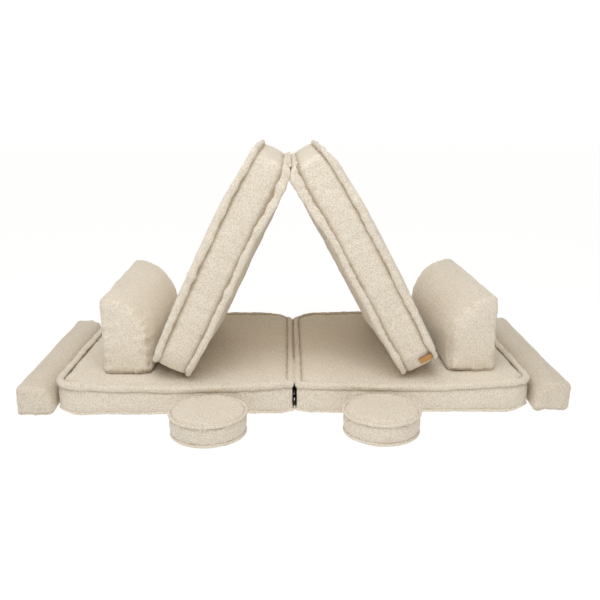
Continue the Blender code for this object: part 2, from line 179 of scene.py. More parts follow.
class PaddingSettings(bpy.types.PropertyGroup):
    voxel: size_choice("Cloth cell", "Size of the cloth's squares", 8 * MM)
    swell: size_choice("Swell", "Most that a cover may swell", 5 * MM)
    pucker: size_choice("Pucker", "Depth of the folds beside a seam", 1.6 * MM)
    crease: size_choice("Crease", "How far a cover is drawn in beside a roll", 3 * MM)
    front_sag: size_choice("Front sag", "How far the base's front edge gives under the tent", 15 * MM)
    outer_crown: size_choice("Outer crown", "How far the tent's outer faces bulge", 8 * MM)
    inner_slack: size_choice("Inner slack", "How far the tent's inner panels hang loose", 20 * MM)
    spare: FloatProperty(name="Spare cloth", description="How much larger a cover is cut", default=0.01)
    pressure: FloatProperty(name="Pressure", description="Push of the foam on its cover", default=4.0)
    steps: IntProperty(name="Steps", description="Steps of the cloth simulation", default=20)


class TrimSettings(bpy.types.PropertyGroup):
    foam: colour_choice("Foam colour", "Cut foam inside the covers", "EFE6C8")
    tape: colour_choice("Tape colour", "Woven tape of the zips", "CDBFA8")
    teeth: colour_choice("Teeth colour", "Nylon coil of the zips", "C4B598")
    slider: colour_choice("Slider colour", "Zinc sliders of the zips", "B9B7B2")
    leather: colour_choice("Tag colour", "Leather of the bare tag", "C98F4A")
    cut_edge: colour_choice("Tag edge colour", "Darkened cut edge of the tag", "7A4E22")
    thread: colour_choice("Thread colour", "Stitches of the tag", "E6D8BC")


class StageSettings(bpy.types.PropertyGroup):
    key: power_choice("Front light", "Power of the soft front light", 52)
    top: power_choice("Top light", "Power of the soft top light", 56)
    tunnel: power_choice("Tunnel light", "Power of the narrow light from behind", 90)
    lamp_colour: colour_choice("Lamp colour", "Colour of the front and top lights", "FAFCFF")
    tunnel_colour: colour_choice("Tunnel light colour", "Colour of the light from behind", "FFF3E2")
    sky: FloatProperty(name="Sky", description="Strength of the even light all round", default=0.39)
    sky_colour: colour_choice("Sky colour", "Colour of the even light", "FFF9EC")
    backdrop: FloatProperty(name="Backdrop", description="Strength of the white behind the set", default=1.15)
    floor_glow: FloatProperty(name="Floor glow", description="Light that the white floor gives", default=0.90)
    floor: colour_choice("Floor colour", "The plain pale floor", "626260")


# Modelling by hand, in code


def deselect():
    for other in bpy.context.view_layer.objects:
        other.select_set(False)


def pick(piece):
    """Leaves only this piece selected and active."""
    deselect()
    piece.select_set(True)
    bpy.context.view_layer.objects.active = piece
    return piece


def named(name):
    """Names the piece that an operator has just added."""
    piece = bpy.context.active_object
    piece.name = piece.data.name = name
    return piece


def add_box(name, low, high):
    low, high = Vector(low), Vector(high)
    deselect()
    bpy.ops.mesh.primitive_cube_add(size=1, location=(low + high) / 2, scale=high - low)
    piece = named(name)
    bpy.ops.object.transform_apply()
    return piece


def edit(piece, kind="EDGE"):
    """Opens a piece for editing with nothing selected."""
    pick(piece)
    bpy.ops.object.mode_set(mode="EDIT")
    bpy.ops.mesh.select_mode(type=kind)
    bpy.ops.mesh.select_all(action="DESELECT")
    return bmesh.from_edit_mesh(piece.data)


def choose(parts, test):
    """Selects the points, edges or faces that pass the test."""
    for part in parts:
        if test(part):
            part.select_set(True)
    bmesh.update_edit_mesh(bpy.context.edit_object.data)


def end_edit():
    bpy.ops.object.mode_set(mode="OBJECT")


def bevel(piece, test, offset, cuts):
    """Rounds the edges that pass the test."""
    shape = edit(piece)
    choose(shape.edges, test)
    bpy.ops.mesh.bevel(offset=offset, segments=cuts, affect="EDGES")
    end_edit()


def lies(axis, value, slack=MM / 10):
    """A test for edges that lie in the plane where one coordinate has this value."""
    return lambda edge: all(abs(v.co[axis] - value) < slack for v in edge.verts)


def both(one, other):
    return lambda edge: one(edge) and other(edge)


def either(one, other):
    return lambda edge: one(edge) or other(edge)


def join(pieces, name):
    """Makes several pieces one."""
    deselect()
    for piece in pieces:
        piece.select_set(True)
    bpy.context.view_layer.objects.active = pieces[0]
    bpy.ops.object.join()
    return named(name)


def apply_modifiers(piece):
    pick(piece)
    for modifier in list(piece.modifiers):
        bpy.ops.object.modifier_apply(modifier=modifier.name)
    return piece


def subdivide(piece):
    smooth = piece.modifiers.new("smooth", "SUBSURF")
    smooth.levels = smooth.render_levels = 1
    return apply_modifiers(piece)


def repeat(piece, count, step):
    """Lays copies of a mesh in a row."""
    row = piece.modifiers.new("row", "ARRAY")
    row.use_relative_offset = False
    row.use_constant_offset = True
    row.constant_offset_displace = step
    row.count = count
    return apply_modifiers(piece)


def remesh(piece, cell):
    net = piece.modifiers.new("net", "REMESH")
    net.mode = "VOXEL"
    net.voxel_size = cell
    return apply_modifiers(piece)


def copy_of(piece, name):
    """A copy with its own mesh."""
    made = piece.copy()
    made.data = piece.data.copy()
    made.name = made.data.name = name
    bpy.context.scene.collection.objects.link(made)
    return made


def points_of(piece):
    co = np.empty(len(piece.data.vertices) * 3)
    piece.data.vertices.foreach_get("co", co)
    return co.reshape(-1, 3)


def normals_of(piece):
    found = np.empty(len(piece.data.vertices) * 3)
    piece.data.vertices.foreach_get("normal", found)
    return found.reshape(-1, 3)


def set_points(piece, points):
    piece.data.vertices.foreach_set("co", np.asarray(points, float).ravel())
    piece.data.update()


def mark(piece, name, values):
    """Stores one number on each point, for a material to read."""
    attribute = piece.data.attributes.new(name, "FLOAT", "POINT")
    attribute.data.foreach_set("value", np.asarray(values, np.float32))


def put(piece, place):
    """Moves a mesh to its place. A mirrored one has its faces turned to point out again."""
    piece.data.transform(place)
    if place.determinant() < 0:
        piece.data.flip_normals()
    piece.data.update()
    return piece


def ready(look):
    """The material that a function makes, which it makes only once."""
    return bpy.data.materials.get(look.__name__) or look()


def finish_piece(piece, body, look, nodes=()):
    """Gives a piece its material and slot, hides the nodes that it stands for, and puts it on the body that
    it rides on.
    """
    pick(piece)
    bpy.ops.object.shade_smooth()
    piece.data.materials.clear()
    piece.data.materials.append(ready(look))
    if nodes:
        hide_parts(*nodes)
    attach(piece, body)
    return piece


# Laws of form, on arrays of points


def ease(values, low, high):
    """0 up to low, 1 from high, smooth between them."""
    t = np.clip((values - low) / (high - low), 0, 1)
    return t * t * (3 - 2 * t)


def ripple(points, length, seed, waves=14):
    """Smooth unevenness between about -1 and 1, with hills about this far apart."""
    draw = np.random.default_rng(seed)
    total = np.zeros(len(points))
    for _ in range(waves):
        way = draw.normal(size=points.shape[1])
        way /= np.linalg.norm(way)
        turn = 2 * math.pi / (length * draw.uniform(0.7, 1.6))
        total += np.sin(points @ way * turn + draw.uniform(0, 2 * math.pi))
    return total / math.sqrt(waves)


def to_loop(points, loop):
    """How far each point lies from a closed line, and the line's nearest point."""
    best = np.full(len(points), 1e9)
    nearest = np.zeros_like(points)
    for a, b in zip(loop, np.roll(loop, -1, axis=0)):
        along = b - a
        t = np.clip((points - a) @ along / max(along @ along, 1e-12), 0, 1)
        foot = a + t[:, None] * along
        far = np.linalg.norm(points - foot, axis=1)
        closer = far < best
        best[closer], nearest[closer] = far[closer], foot[closer]
    return best, nearest


def pucker(piece, distance, nearest, seed, depth, groove=0.0, reach=0.030, length=0.034):
    """Draws the cover in along a seam, with small folds that run out from it."""
    beside = np.exp(-distance / reach)
    folds = ripple(nearest, length, seed) * beside * depth
    line = np.exp(-((distance / (7 * MM)) ** 2)) * groove
    set_points(piece, points_of(piece) + normals_of(piece) * (folds - line)[:, None])


def tufts(piece, share=1.0):
    """Lumps of pile that show in the outline."""
    fabric = bpy.context.scene.sofa_boucle
    texture = bpy.data.textures.new(piece.name + "_tufts", "VORONOI")
    texture.noise_scale = fabric.tuft_size
    lumps = piece.modifiers.new("tufts", "DISPLACE")
    lumps.texture = texture
    lumps.texture_coords = "LOCAL"
    lumps.direction = "NORMAL"
    lumps.mid_level = 0.45
    lumps.strength = -fabric.tuft_height * share
    apply_modifiers(piece)
    bpy.data.textures.remove(texture)
    return piece


def swell(piece, limit, pinned):
    """Lets the foam push its cover out as cloth, cut with a little to spare, each point by less than
    the limit."""
    padding = bpy.context.scene.sofa_padding
    before = points_of(piece)
    group = piece.vertex_groups.new(name="sewn")
    group.add([int(k) for k in np.flatnonzero(pinned)], 1.0, "REPLACE")
    cloth = piece.modifiers.new("swell", "CLOTH")
    cloth.settings.use_pressure = True
    cloth.settings.uniform_pressure_force = padding.pressure
    cloth.settings.effector_weights.gravity = 0
    cloth.settings.shrink_min = -padding.spare
    cloth.settings.vertex_group_mass = "sewn"
    scene = bpy.context.scene
    for step in range(1, padding.steps + 1):
        scene.frame_set(step)
    apply_modifiers(piece)
    scene.frame_set(1)
    piece.vertex_groups.clear()
    move = points_of(piece) - before
    length = np.maximum(np.linalg.norm(move, axis=1), 1e-9)
    set_points(piece, before + move * (limit * np.tanh(length / limit) / length)[:, None])
    return piece


# Materials


def add_node(tree, kind, inputs=None, **settings):
    """Adds one node with its settings. An input is a value, or another node's output."""
    made = tree.nodes.new(kind)
    for key, value in settings.items():
        setattr(made, key, value)
    for key, value in (inputs or {}).items():
        if isinstance(value, bpy.types.NodeSocket):
            tree.links.new(value, made.inputs[key])
        else:
            made.inputs[key].default_value = value
    return made


def new_material(name, roughness, specular=0.5, metallic=0.0):
    made = bpy.data.materials.new(name)
    made.use_nodes = True
    shader = made.node_tree.nodes["Principled BSDF"]
    shader.inputs["Roughness"].default_value = roughness
    shader.inputs["Specular IOR Level"].default_value = specular
    shader.inputs["Metallic"].default_value = metallic
    return made, made.node_tree, shader


def mottle(tree, shader, colour, pattern, low, high):
    """Gives the shader a colour that a pattern darkens and lightens."""
    shade = add_node(tree, "ShaderNodeMapRange", {"Value": pattern, "To Min": low, "To Max": high})
    tinted = add_node(tree, "ShaderNodeVectorMath", {0: colour, "Scale": shade.outputs[0]}, operation="SCALE")
    tree.links.new(tinted.outputs[0], shader.inputs["Base Color"])
    return tinted.outputs[0]


def wool_boucle():
    """Wool boucle: looped yarn in small knots on a knit ground. The knots scatter the light, so it
    is matt, with a soft bloom at grazing angles, and painted shade darkens the ground between the knots."""
    fabric = bpy.context.scene.sofa_boucle
    made, tree, shader = new_material("wool_boucle", roughness=0.95, specular=0.2)
    where = add_node(tree, "ShaderNodeTexCoord").outputs["Object"]
    bend = add_node(tree, "ShaderNodeTexNoise", {"Vector": where, "Scale": 1 / (9 * MM), "Detail": 2.0})
    aside = add_node(
        tree, "ShaderNodeVectorMath", {0: bend.outputs["Color"], 1: (0.5, 0.5, 0.5)}, operation="SUBTRACT"
    )
    shift = add_node(tree, "ShaderNodeVectorMath", {0: aside.outputs[0], "Scale": 3 * MM}, operation="SCALE")
    bent = add_node(tree, "ShaderNodeVectorMath", {0: where, 1: shift.outputs[0]}, operation="ADD").outputs[0]
    knots = add_node(tree, "ShaderNodeTexVoronoi", {"Vector": bent, "Scale": 1 / fabric.loop_size})
    curls = add_node(tree, "ShaderNodeTexNoise", {"Vector": bent, "Scale": 1 / (2.2 * MM), "Detail": 3.0})
    patches = add_node(tree, "ShaderNodeTexNoise", {"Vector": where, "Scale": 1 / 0.22, "Detail": 2.0})
    height = add_node(
        tree,
        "ShaderNodeMapRange",
        {"Value": knots.outputs["Distance"], "From Max": 0.85, "To Min": 1.0, "To Max": 0.0},
    ).outputs[0]
    tops = add_node(
        tree,
        "ShaderNodeMapRange",
        {"Value": height, "From Min": 0.15, "From Max": 0.62},
        interpolation_type="SMOOTHSTEP",
    ).outputs[0]
    # The loop tops take the loop colour and the gaps between them the darker ground colour: painted shade in
    # the gaps.
    yarn = add_node(
        tree, "ShaderNodeMix", {0: tops, 6: (*fabric.ground, 1), 7: (*fabric.loop, 1)}, data_type="RGBA"
    ).outputs[2]
    worn = mottle(tree, shader, yarn, patches.outputs["Fac"], 0.93, 1.04)
    # The seam attribute mixes in the seam colour: parted pile along seams, and painted shade in creases,
    # slots, the hinge valley and over the low bolsters.
    seam = add_node(tree, "ShaderNodeAttribute", attribute_name="seam").outputs["Fac"]
    depth = add_node(tree, "ShaderNodeMath", {0: seam, 1: 0.7}, operation="MULTIPLY").outputs[0]
    colour = add_node(tree, "ShaderNodeMix", {0: depth, 6: worn, 7: (*fabric.seam, 1)}, data_type="RGBA")
    tree.links.new(colour.outputs[2], shader.inputs["Base Color"])
    lumps = add_node(
        tree, "ShaderNodeBump", {"Height": height, "Strength": 0.7, "Distance": fabric.loop_height}
    )
    fuzz = add_node(
        tree,
        "ShaderNodeBump",
        {"Height": curls.outputs["Fac"], "Strength": 0.5, "Distance": 0.8 * MM, "Normal": lumps.outputs[0]},
    )
    tree.links.new(fuzz.outputs[0], shader.inputs["Normal"])
    shader.inputs["Sheen Weight"].default_value = 0.25
    shader.inputs["Sheen Roughness"].default_value = 0.6
    return made


def woven_polyester():
    """Zip tape, woven of polyester: a close herringbone of fine ribs, matt with a slight shine."""
    made, tree, shader = new_material("woven_polyester", roughness=0.75, specular=0.35)
    where = add_node(tree, "ShaderNodeTexCoord").outputs["Object"]
    # The real ribs are 0.4 mm apart. They are drawn at 1 mm so that they show.
    ribs = add_node(
        tree,
        "ShaderNodeTexWave",
        {"Vector": where, "Scale": math.pi / 10 / (1 * MM), "Distortion": 1.5, "Detail": 1.0},
        bands_direction="DIAGONAL",
    )
    mottle(tree, shader, tuple(bpy.context.scene.sofa_trim.tape), ribs.outputs["Fac"], 0.78, 1.05)
    raised = add_node(
        tree, "ShaderNodeBump", {"Height": ribs.outputs["Fac"], "Strength": 0.6, "Distance": 0.3 * MM}
    )
    tree.links.new(raised.outputs[0], shader.inputs["Normal"])
    return made


def nylon_coil():
    """Zip teeth, a coil of drawn nylon: smooth and slightly waxy, with soft highlights."""
    made, tree, shader = new_material("nylon_coil", roughness=0.38)
    where = add_node(tree, "ShaderNodeTexCoord").outputs["Object"]
    specks = add_node(tree, "ShaderNodeTexNoise", {"Vector": where, "Scale": 1 / (6 * MM), "Detail": 3.0})
    mottle(tree, shader, tuple(bpy.context.scene.sofa_trim.teeth), specks.outputs["Fac"], 0.88, 1.06)
    shader.inputs["Subsurface Weight"].default_value = 0.1
    shader.inputs["Subsurface Scale"].default_value = 1 * MM
    return made


def tumbled_zinc():
    """Die-cast zinc, tumbled until its edges are smooth: a dull silver with fine scuffs all ways."""
    made, tree, shader = new_material("tumbled_zinc", roughness=0.36, metallic=1.0)
    where = add_node(tree, "ShaderNodeTexCoord").outputs["Object"]
    scuffs = add_node(tree, "ShaderNodeTexNoise", {"Vector": where, "Scale": 1 / (1.2 * MM), "Detail": 4.0})
    stains = add_node(tree, "ShaderNodeTexNoise", {"Vector": where, "Scale": 1 / (8 * MM), "Detail": 2.0})
    mottle(tree, shader, tuple(bpy.context.scene.sofa_trim.slider), stains.outputs["Fac"], 0.82, 1.05)
    dull = add_node(
        tree, "ShaderNodeMapRange", {"Value": scuffs.outputs["Fac"], "To Min": 0.28, "To Max": 0.48}
    )
    tree.links.new(dull.outputs[0], shader.inputs["Roughness"])
    dents = add_node(
        tree, "ShaderNodeBump", {"Height": scuffs.outputs["Fac"], "Strength": 0.25, "Distance": 0.1 * MM}
    )
    tree.links.new(dents.outputs[0], shader.inputs["Normal"])
    return made


def tanned_leather():
    """Vegetable-tanned leather, cut from a hide and left bare: a golden brown with a fine pebbled
    grain, a soft shine, and cut edges that have darkened."""
    made, tree, shader = new_material("tanned_leather", roughness=0.55, specular=0.45)
    where = add_node(tree, "ShaderNodeTexCoord").outputs["Object"]
    grain = add_node(tree, "ShaderNodeTexVoronoi", {"Vector": where, "Scale": 1 / (1.1 * MM)})
    clouds = add_node(tree, "ShaderNodeTexNoise", {"Vector": where, "Scale": 1 / (9 * MM), "Detail": 4.0})
    trim = bpy.context.scene.sofa_trim
    hide = mottle(tree, shader, tuple(trim.leather), clouds.outputs["Fac"], 0.72, 1.18)
    edge = add_node(tree, "ShaderNodeAttribute", attribute_name="edge").outputs["Fac"]
    colour = add_node(tree, "ShaderNodeMix", {0: edge, 6: hide, 7: (*trim.cut_edge, 1)}, data_type="RGBA")
    tree.links.new(colour.outputs[2], shader.inputs["Base Color"])
    pebbles = add_node(
        tree, "ShaderNodeBump", {"Height": grain.outputs["Distance"], "Strength": 0.5, "Distance": 0.25 * MM}
    )
    tree.links.new(pebbles.outputs[0], shader.inputs["Normal"])
    return made


def waxed_thread():
    """Waxed linen thread of the tag's stitches: two plies, pale and slightly shiny."""
    made, tree, shader = new_material("waxed_thread", roughness=0.6, specular=0.4)
    where = add_node(tree, "ShaderNodeTexCoord").outputs["Object"]
    plies = add_node(tree, "ShaderNodeTexWave", {"Vector": where, "Scale": math.pi / 10 / (0.6 * MM)})
    mottle(tree, shader, tuple(bpy.context.scene.sofa_trim.thread), plies.outputs["Fac"], 0.7, 1.0)
    return made


def cut_foam():
    """Polyurethane foam, cut with a hot wire: a pale matt face of small open cells."""
    made, tree, shader = new_material("cut_foam", roughness=0.9, specular=0.3)
    where = add_node(tree, "ShaderNodeTexCoord").outputs["Object"]
    # The real cells are under 1 mm. They are drawn at 2.5 mm so that they show.
    cells = add_node(tree, "ShaderNodeTexVoronoi", {"Vector": where, "Scale": 1 / (2.5 * MM)})
    mottle(tree, shader, tuple(bpy.context.scene.sofa_trim.foam), cells.outputs["Distance"], 0.82, 1.0)
    pores = add_node(
        tree, "ShaderNodeBump", {"Height": cells.outputs["Distance"], "Strength": 0.6, "Distance": 0.8 * MM}
    )
    tree.links.new(pores.outputs[0], shader.inputs["Normal"])
    return made


# The halves of the mats


class Half:
    """A half of the base or the tent, and where it stands."""

    def __init__(self, name, body, side, width, thickness, hinge, upright, seed):
        self.name, self.body, self.side, self.seed = name, body, side, seed
        self.width, self.thickness = width, thickness
        self.tent = upright is not None
        turn = side * (math.radians(90) - upright) if self.tent else 0
        self.place = (
            Matrix.Translation(hinge)
            @ Matrix.Rotation(turn, 4, "Y")
            @ Matrix.Diagonal((side, 1, 1, 1))
            @ Matrix.Translation((0, 0, 0 if self.tent else -thickness))
        )


def make_halves():
    fold = next(j for j in frame["joints"] if j["name"] == "tent_left_fold")
    ridge = Vector(fold["pos_m"]) - Vector((0, MAT_DEPTH / 2, 0))
    flat = Vector((0, MAT_FRONT, BASE_THICKNESS))
    return [
        Half("base_left", "base", -1, MAT_WIDTH, BASE_THICKNESS, flat, None, 11),
        Half("base_right", "base", 1, MAT_WIDTH, BASE_THICKNESS, flat, None, 12),
        Half("tent_left", "tent_left", -1, TENT_LEFT_WIDTH, TENT_THICKNESS, ridge, TENT_LEFT_LEAN, 13),
        Half("tent_right", "tent_right", 1, MAT_WIDTH, TENT_THICKNESS, ridge, TENT_RIGHT_LEAN, 14),
    ]


HALVES = make_halves()


def outline_reach(points, width):
    """How far each point lies inside a half's outline, and the outline's nearest point."""
    x, y = points[:, 0], points[:, 1]
    radius = np.where(x < width / 2, HINGE_CORNER, END_CORNER)
    a = np.minimum(x, width - x)
    b = np.minimum(y, MAT_DEPTH - y)
    turned = (a < radius) & (b < radius)
    far = np.maximum(np.hypot(radius - a, radius - b), 1e-9)
    inset = np.where(turned, radius - far, np.minimum(a, b))
    near_a = np.where(turned, radius - radius * (radius - a) / far, np.where(a < b, 0, a))
    near_b = np.where(turned, radius - radius * (radius - b) / far, np.where(a < b, b, 0))
    edge_x = np.where(x < width / 2, near_a, width - near_a)
    edge_y = np.where(y < MAT_DEPTH / 2, near_b, MAT_DEPTH - near_b)
    return inset, np.column_stack((edge_x, edge_y, points[:, 2] * 0))


def near_corner(points, corner, reach):
    """1 at an upright corner and 0 past its reach."""
    return 1 - ease(np.hypot(points[:, 0] - corner[0], points[:, 1] - corner[1]), 0, reach)


def settle(points, half):
    """How a half gives. The base gives at its corners, at the back of its hinge and under the tent,
    and the tent's halves are puffier along their middle."""
    padding = bpy.context.scene.sofa_padding
    moved = points.copy()
    x, y, z = points.T
    up = z / half.thickness
    if half.tent:
        along = np.clip(x / half.width, 0, 1)
        across = np.clip(y / MAT_DEPTH, 0, 1)
        hump = np.sin(math.pi * along)
        dome = np.sqrt(np.clip(4 * across * (1 - across), 0, 1)) * ease(along, 0, 0.3) * hump**0.7
        outer = 8 * MM * ease(along, 0, 0.3) + 6 * MM * hump
        outer += padding.outer_crown * dome * ease(up, 0.8, 0.97)
        inner = np.minimum(0.028 * x, 8 * MM) * (1 - 0.6 * ease(along, 0.75, 1))
        moved[:, 2] += outer * np.clip(up, 0, 1) - inner * np.clip(1 - up, 0, 1)
        # Only the high rolls stand proud at the ridge, and the front of each foot sinks into the base.
        moved[:, 0] += 8 * MM * (1 - ease(x, 0, 0.06)) * (1 - ease(up, 0.80, 0.92))
        moved[:, 0] += 9 * MM * ease(along, 0.8, 1) * (1 - ease(y, 0.05, 0.25))
        if half.side > 0:
            # The right half's outer edge is worn round at the ridge.
            moved[:, 2] -= 13 * MM * (1 - ease(x, 0, 0.07)) * ease(up, 0.5, 1)
        return moved
    moved[:, :2] = round_rear(points[:, :2])
    along = np.clip((x - 0.03) / (half.width - 0.10), 0, 1)
    sag = padding.front_sag * np.sin(math.pi * along) ** 0.8 * (1 - ease(y, 0, 0.20))
    moved[:, 2] -= sag * np.clip(up, 0, 1.1)
    rise = 8 * MM * np.sin(math.pi * along) ** 0.6 * ease(y, MAT_DEPTH - 0.16, MAT_DEPTH - 0.02)
    moved[:, 2] += rise * np.clip(up, 0, 1)
    for end, lift, reach in ((half.width, 15 * MM, 0.10), (0, 9 * MM, 0.055)):
        for side in (0, MAT_DEPTH):
            moved[:, 2] += lift * near_corner(points, (end, side), reach) * np.clip(1 - up, 0, 1) ** 1.3
    moved[:, 2] -= 12 * MM * near_corner(points, (0, MAT_DEPTH), 0.11) * np.clip(up, 0, 1)
    return moved


def round_rear(plan):
    """Rounds the base's corner at the back of its hinge, which is soft and wide."""
    reach = 0.060
    inward = np.column_stack((reach - plan[:, 0], reach - (MAT_DEPTH - plan[:, 1])))
    square = inward.max(1)
    share = np.where(inward.min(1) > 0, square / np.maximum(np.hypot(*inward.T), 1e-9), 1)
    kept = inward * share[:, None]
    return np.column_stack((reach - kept[:, 0], MAT_DEPTH - reach + kept[:, 1]))


def hinge_gather(x, half):
    """How far the fabric on the inner side of the tent bunches up below its hinge."""
    most = 24 * MM if half.side > 0 else 18 * MM
    return np.clip(0.5 * (x + 8 * MM), 0, most) * (1 - ease(x, 0.09, 0.27))


def press_flat(piece):
    """Gives a soft piece on the tent's inner side a mesh of its own."""
    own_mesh(piece)


def half_block(name, thickness, side, face, rim, low_rim, hinge_side=None):
    """A half's rounded block, the same all round inside its outline."""
    near = side if hinge_side is None else hinge_side
    block = add_box(name, (near, side, face), (MAT_WIDTH - side, MAT_DEPTH - side, thickness - face))
    upright = lambda edge: abs(edge.verts[0].co.z - edge.verts[1].co.z) > MM
    bevel(block, both(upright, lies(0, near)), HINGE_CORNER - side, 4)
    bevel(block, both(upright, lies(0, MAT_WIDTH - side)), END_CORNER - side, 10)
    bevel(block, lies(2, thickness - face), rim, 1)
    bevel(block, lies(2, face), low_rim, 3)
    return block


def roll_distance(points, width, thickness, low_roll=True):
    """How far each point lies from the surface of the nearest roll."""
    inset, edge = outline_reach(points, width)
    height = thickness - points[:, 2]
    if low_roll:
        height = np.minimum(height, points[:, 2])
    return np.hypot(inset - ROLL, height - ROLL) - ROLL, edge


def padded_half(name, thickness, flat_below):
    """One swollen half, which its left and right copies share."""
    padding = bpy.context.scene.sofa_padding
    rim, low_rim, hinge_side = (18 * MM, 9 * MM, 2 * MM) if flat_below else (15 * MM, 15 * MM, None)
    block = half_block(name, thickness, 6 * MM, 2 * MM, rim, low_rim, hinge_side)
    remesh(block, padding.voxel)
    points = points_of(block)
    distance, _ = roll_distance(points, MAT_WIDTH, thickness, not flat_below)
    pinned = distance < -2 * MM
    if flat_below:
        pinned |= points[:, 2] < 6 * MM
    swell(block, padding.swell, pinned)
    return subdivide(block)


def zip_press(points, width, thickness):
    """1 along the zip in the rear band, where the cover is drawn in, and 0 past its lips."""
    across = 1 - ease(np.abs(points[:, 2] - thickness / 2), 5 * MM, 12 * MM)
    ends = ease(points[:, 0], MAT_ZIP_END_ROOM - 12 * MM, MAT_ZIP_END_ROOM + 4 * MM)
    ends *= ease(width - points[:, 0], MAT_ZIP_END_ROOM - 12 * MM, MAT_ZIP_END_ROOM + 4 * MM)
    return across * ends * ease(points[:, 1], MAT_DEPTH - 0.03, MAT_DEPTH - 0.02)


class SOFA_OT_mat_covers(bpy.types.Operator):
    """Model the four padded covers of the base and the tent"""

    bl_idname = "sofa.mat_covers"
    bl_label = "Mat covers"

    def execute(self, context):
        padding = context.scene.sofa_padding
        masters = {
            False: padded_half("base_half", BASE_THICKNESS, True),
            True: padded_half("tent_half", TENT_THICKNESS, False),
        }
        for half in HALVES:
            cover = copy_of(masters[half.tent], half.name + "_padded_cover")
            points = points_of(cover)
            points[:, 0] *= half.width / MAT_WIDTH
            set_points(cover, points)
            distance, edge = roll_distance(points, half.width, half.thickness, half.tent)
            distance = np.maximum(distance, 0)
            pucker(cover, distance, edge, half.seed, padding.pucker, groove=padding.crease)
            swells = ripple(points, 0.19, half.seed + 50) * ease(distance, 0, 0.05) * 1.3 * MM
            swells -= zip_press(points, half.width, half.thickness) * 1.5 * MM
            if not half.tent:
                # The foam's weight draws the top panel down beside its rolls, and the band in below them.
                top = ease(points[:, 2], half.thickness * 0.7, half.thickness * 0.9)
                swells -= 4.5 * MM * np.exp(-distance / (13 * MM)) * top * ease(edge[:, 1], 0.03, 0.06)
                swells -= 3.5 * MM * np.exp(-distance / (14 * MM)) * (1 - top) * (edge[:, 0] > 0)
            points = points_of(cover) + normals_of(cover) * swells[:, None]
            # Darker beside the rolls: parted pile along the seams, with painted shade in the creases.
            parted_pile_and_painted_shade = np.exp(-distance / (4 * MM))
            points[:, 0] = np.maximum(points[:, 0], 0)
            if half.tent:
                gather = hinge_gather(points[:, 0], half) * 0.42
                points[:, 2] -= gather * (1 - ease(points[:, 2], 0, half.thickness * 0.6))
            else:
                points, smooth, shade = self.join_front(points, half)
                # The slot at the front of the hinge gets painted shade.
                parted_pile_and_painted_shade = np.maximum(parted_pile_and_painted_shade * (1 - smooth), shade)
                points[:, 2] = np.maximum(points[:, 2], 1.5 * MM)
            set_points(cover, settle(points, half))
            mark(cover, "seam", parted_pile_and_painted_shade)
            put(cover, half.place)
            tufts(cover)
            finish_piece(cover, half.body, wool_boucle, [half.name + "_cover"])
            if half.tent:
                press_flat(cover)
        for master in masters.values():
            bpy.data.objects.remove(master)
        for half in HALVES[2:]:
            self.make_slack_panel(half)
        return {"FINISHED"}

    def join_front(self, points, half):
        """The base's top runs on into its front roll, and a slot stays open at the front of the hinge."""
        inset, _ = outline_reach(points, half.width)
        x, y, z = points.T
        front = (1 - ease(y, 0.030, 0.050)) * ease(z, half.thickness * 0.6, half.thickness * 0.8)
        front *= ease(inset, 8 * MM, 12 * MM) * ease(x, 0.02, 0.05) * ease(half.width - x, 0.05, 0.11)
        points[:, 2] += np.maximum(half.thickness - 0.5 * MM - z, 0) * front
        slot = (1 - ease(y, 0.100, 0.150)) * ease(z, 14 * MM, 20 * MM)
        slot *= 1 - ease(z, half.thickness - 28 * MM, half.thickness - 20 * MM)
        points[:, 0] = np.maximum(x, 7.5 * MM * slot)
        # Painted shade on the slot's walls and back wall.
        shade = (1 - ease(x, 8 * MM, 12 * MM)) * ease(y, 8 * MM, 24 * MM) * (1 - ease(y, 0.2, 0.3))
        shade *= 1 - ease(z, half.thickness - 28 * MM, half.thickness - 20 * MM)
        return points, front, shade

    def make_slack_panel(self, half):
        """The inner panel of a tent cover hangs a little off its foam."""
        slack = bpy.context.scene.sofa_padding.inner_slack
        margin, sunk = 30 * MM, 6 * MM
        deselect()
        bpy.ops.mesh.primitive_grid_add(x_subdivisions=150, y_subdivisions=150, size=1)
        panel = named(half.name + "_slack_panel")
        points = points_of(panel) + 0.5
        across, along = points[:, 1].copy(), points[:, 0].copy()
        edge = np.minimum(np.minimum(along, 1 - along), np.minimum(across, 1 - across))
        points[:, 0] = margin + along * (half.width - 2 * margin)
        points[:, 1] = margin + across * (MAT_DEPTH - 2 * margin)
        hump = ease(along, 0, 0.30) * ease(1 - along, 0, 0.22)
        hump = hump * ease(across, 0, 0.22) * ease(1 - across, 0, 0.25)
        folds = ripple(points[:, :2], 0.11, half.seed + 60) * 1.2 * MM * ease(edge, 0, 0.1)
        gather = hinge_gather(points[:, 0], half) * 0.8 * ease(edge, 0, 0.05)
        points[:, 2] = sunk * (1 - ease(edge, 0, 0.09)) - slack * hump - gather + folds
        set_points(panel, settle(points, half))
        pick(panel)
        bpy.ops.object.mode_set(mode="EDIT")
        bpy.ops.mesh.select_all(action="SELECT")
        bpy.ops.mesh.flip_normals()
        end_edit()
        wall = panel.modifiers.new("wall", "SOLIDIFY")
        wall.thickness = 3 * MM
        wall.offset = -1
        apply_modifiers(panel)
        mark(panel, "seam", np.zeros(len(panel.data.vertices)))
        put(panel, half.place)
        tufts(panel)
        finish_piece(panel, half.body, wool_boucle)
        press_flat(panel)


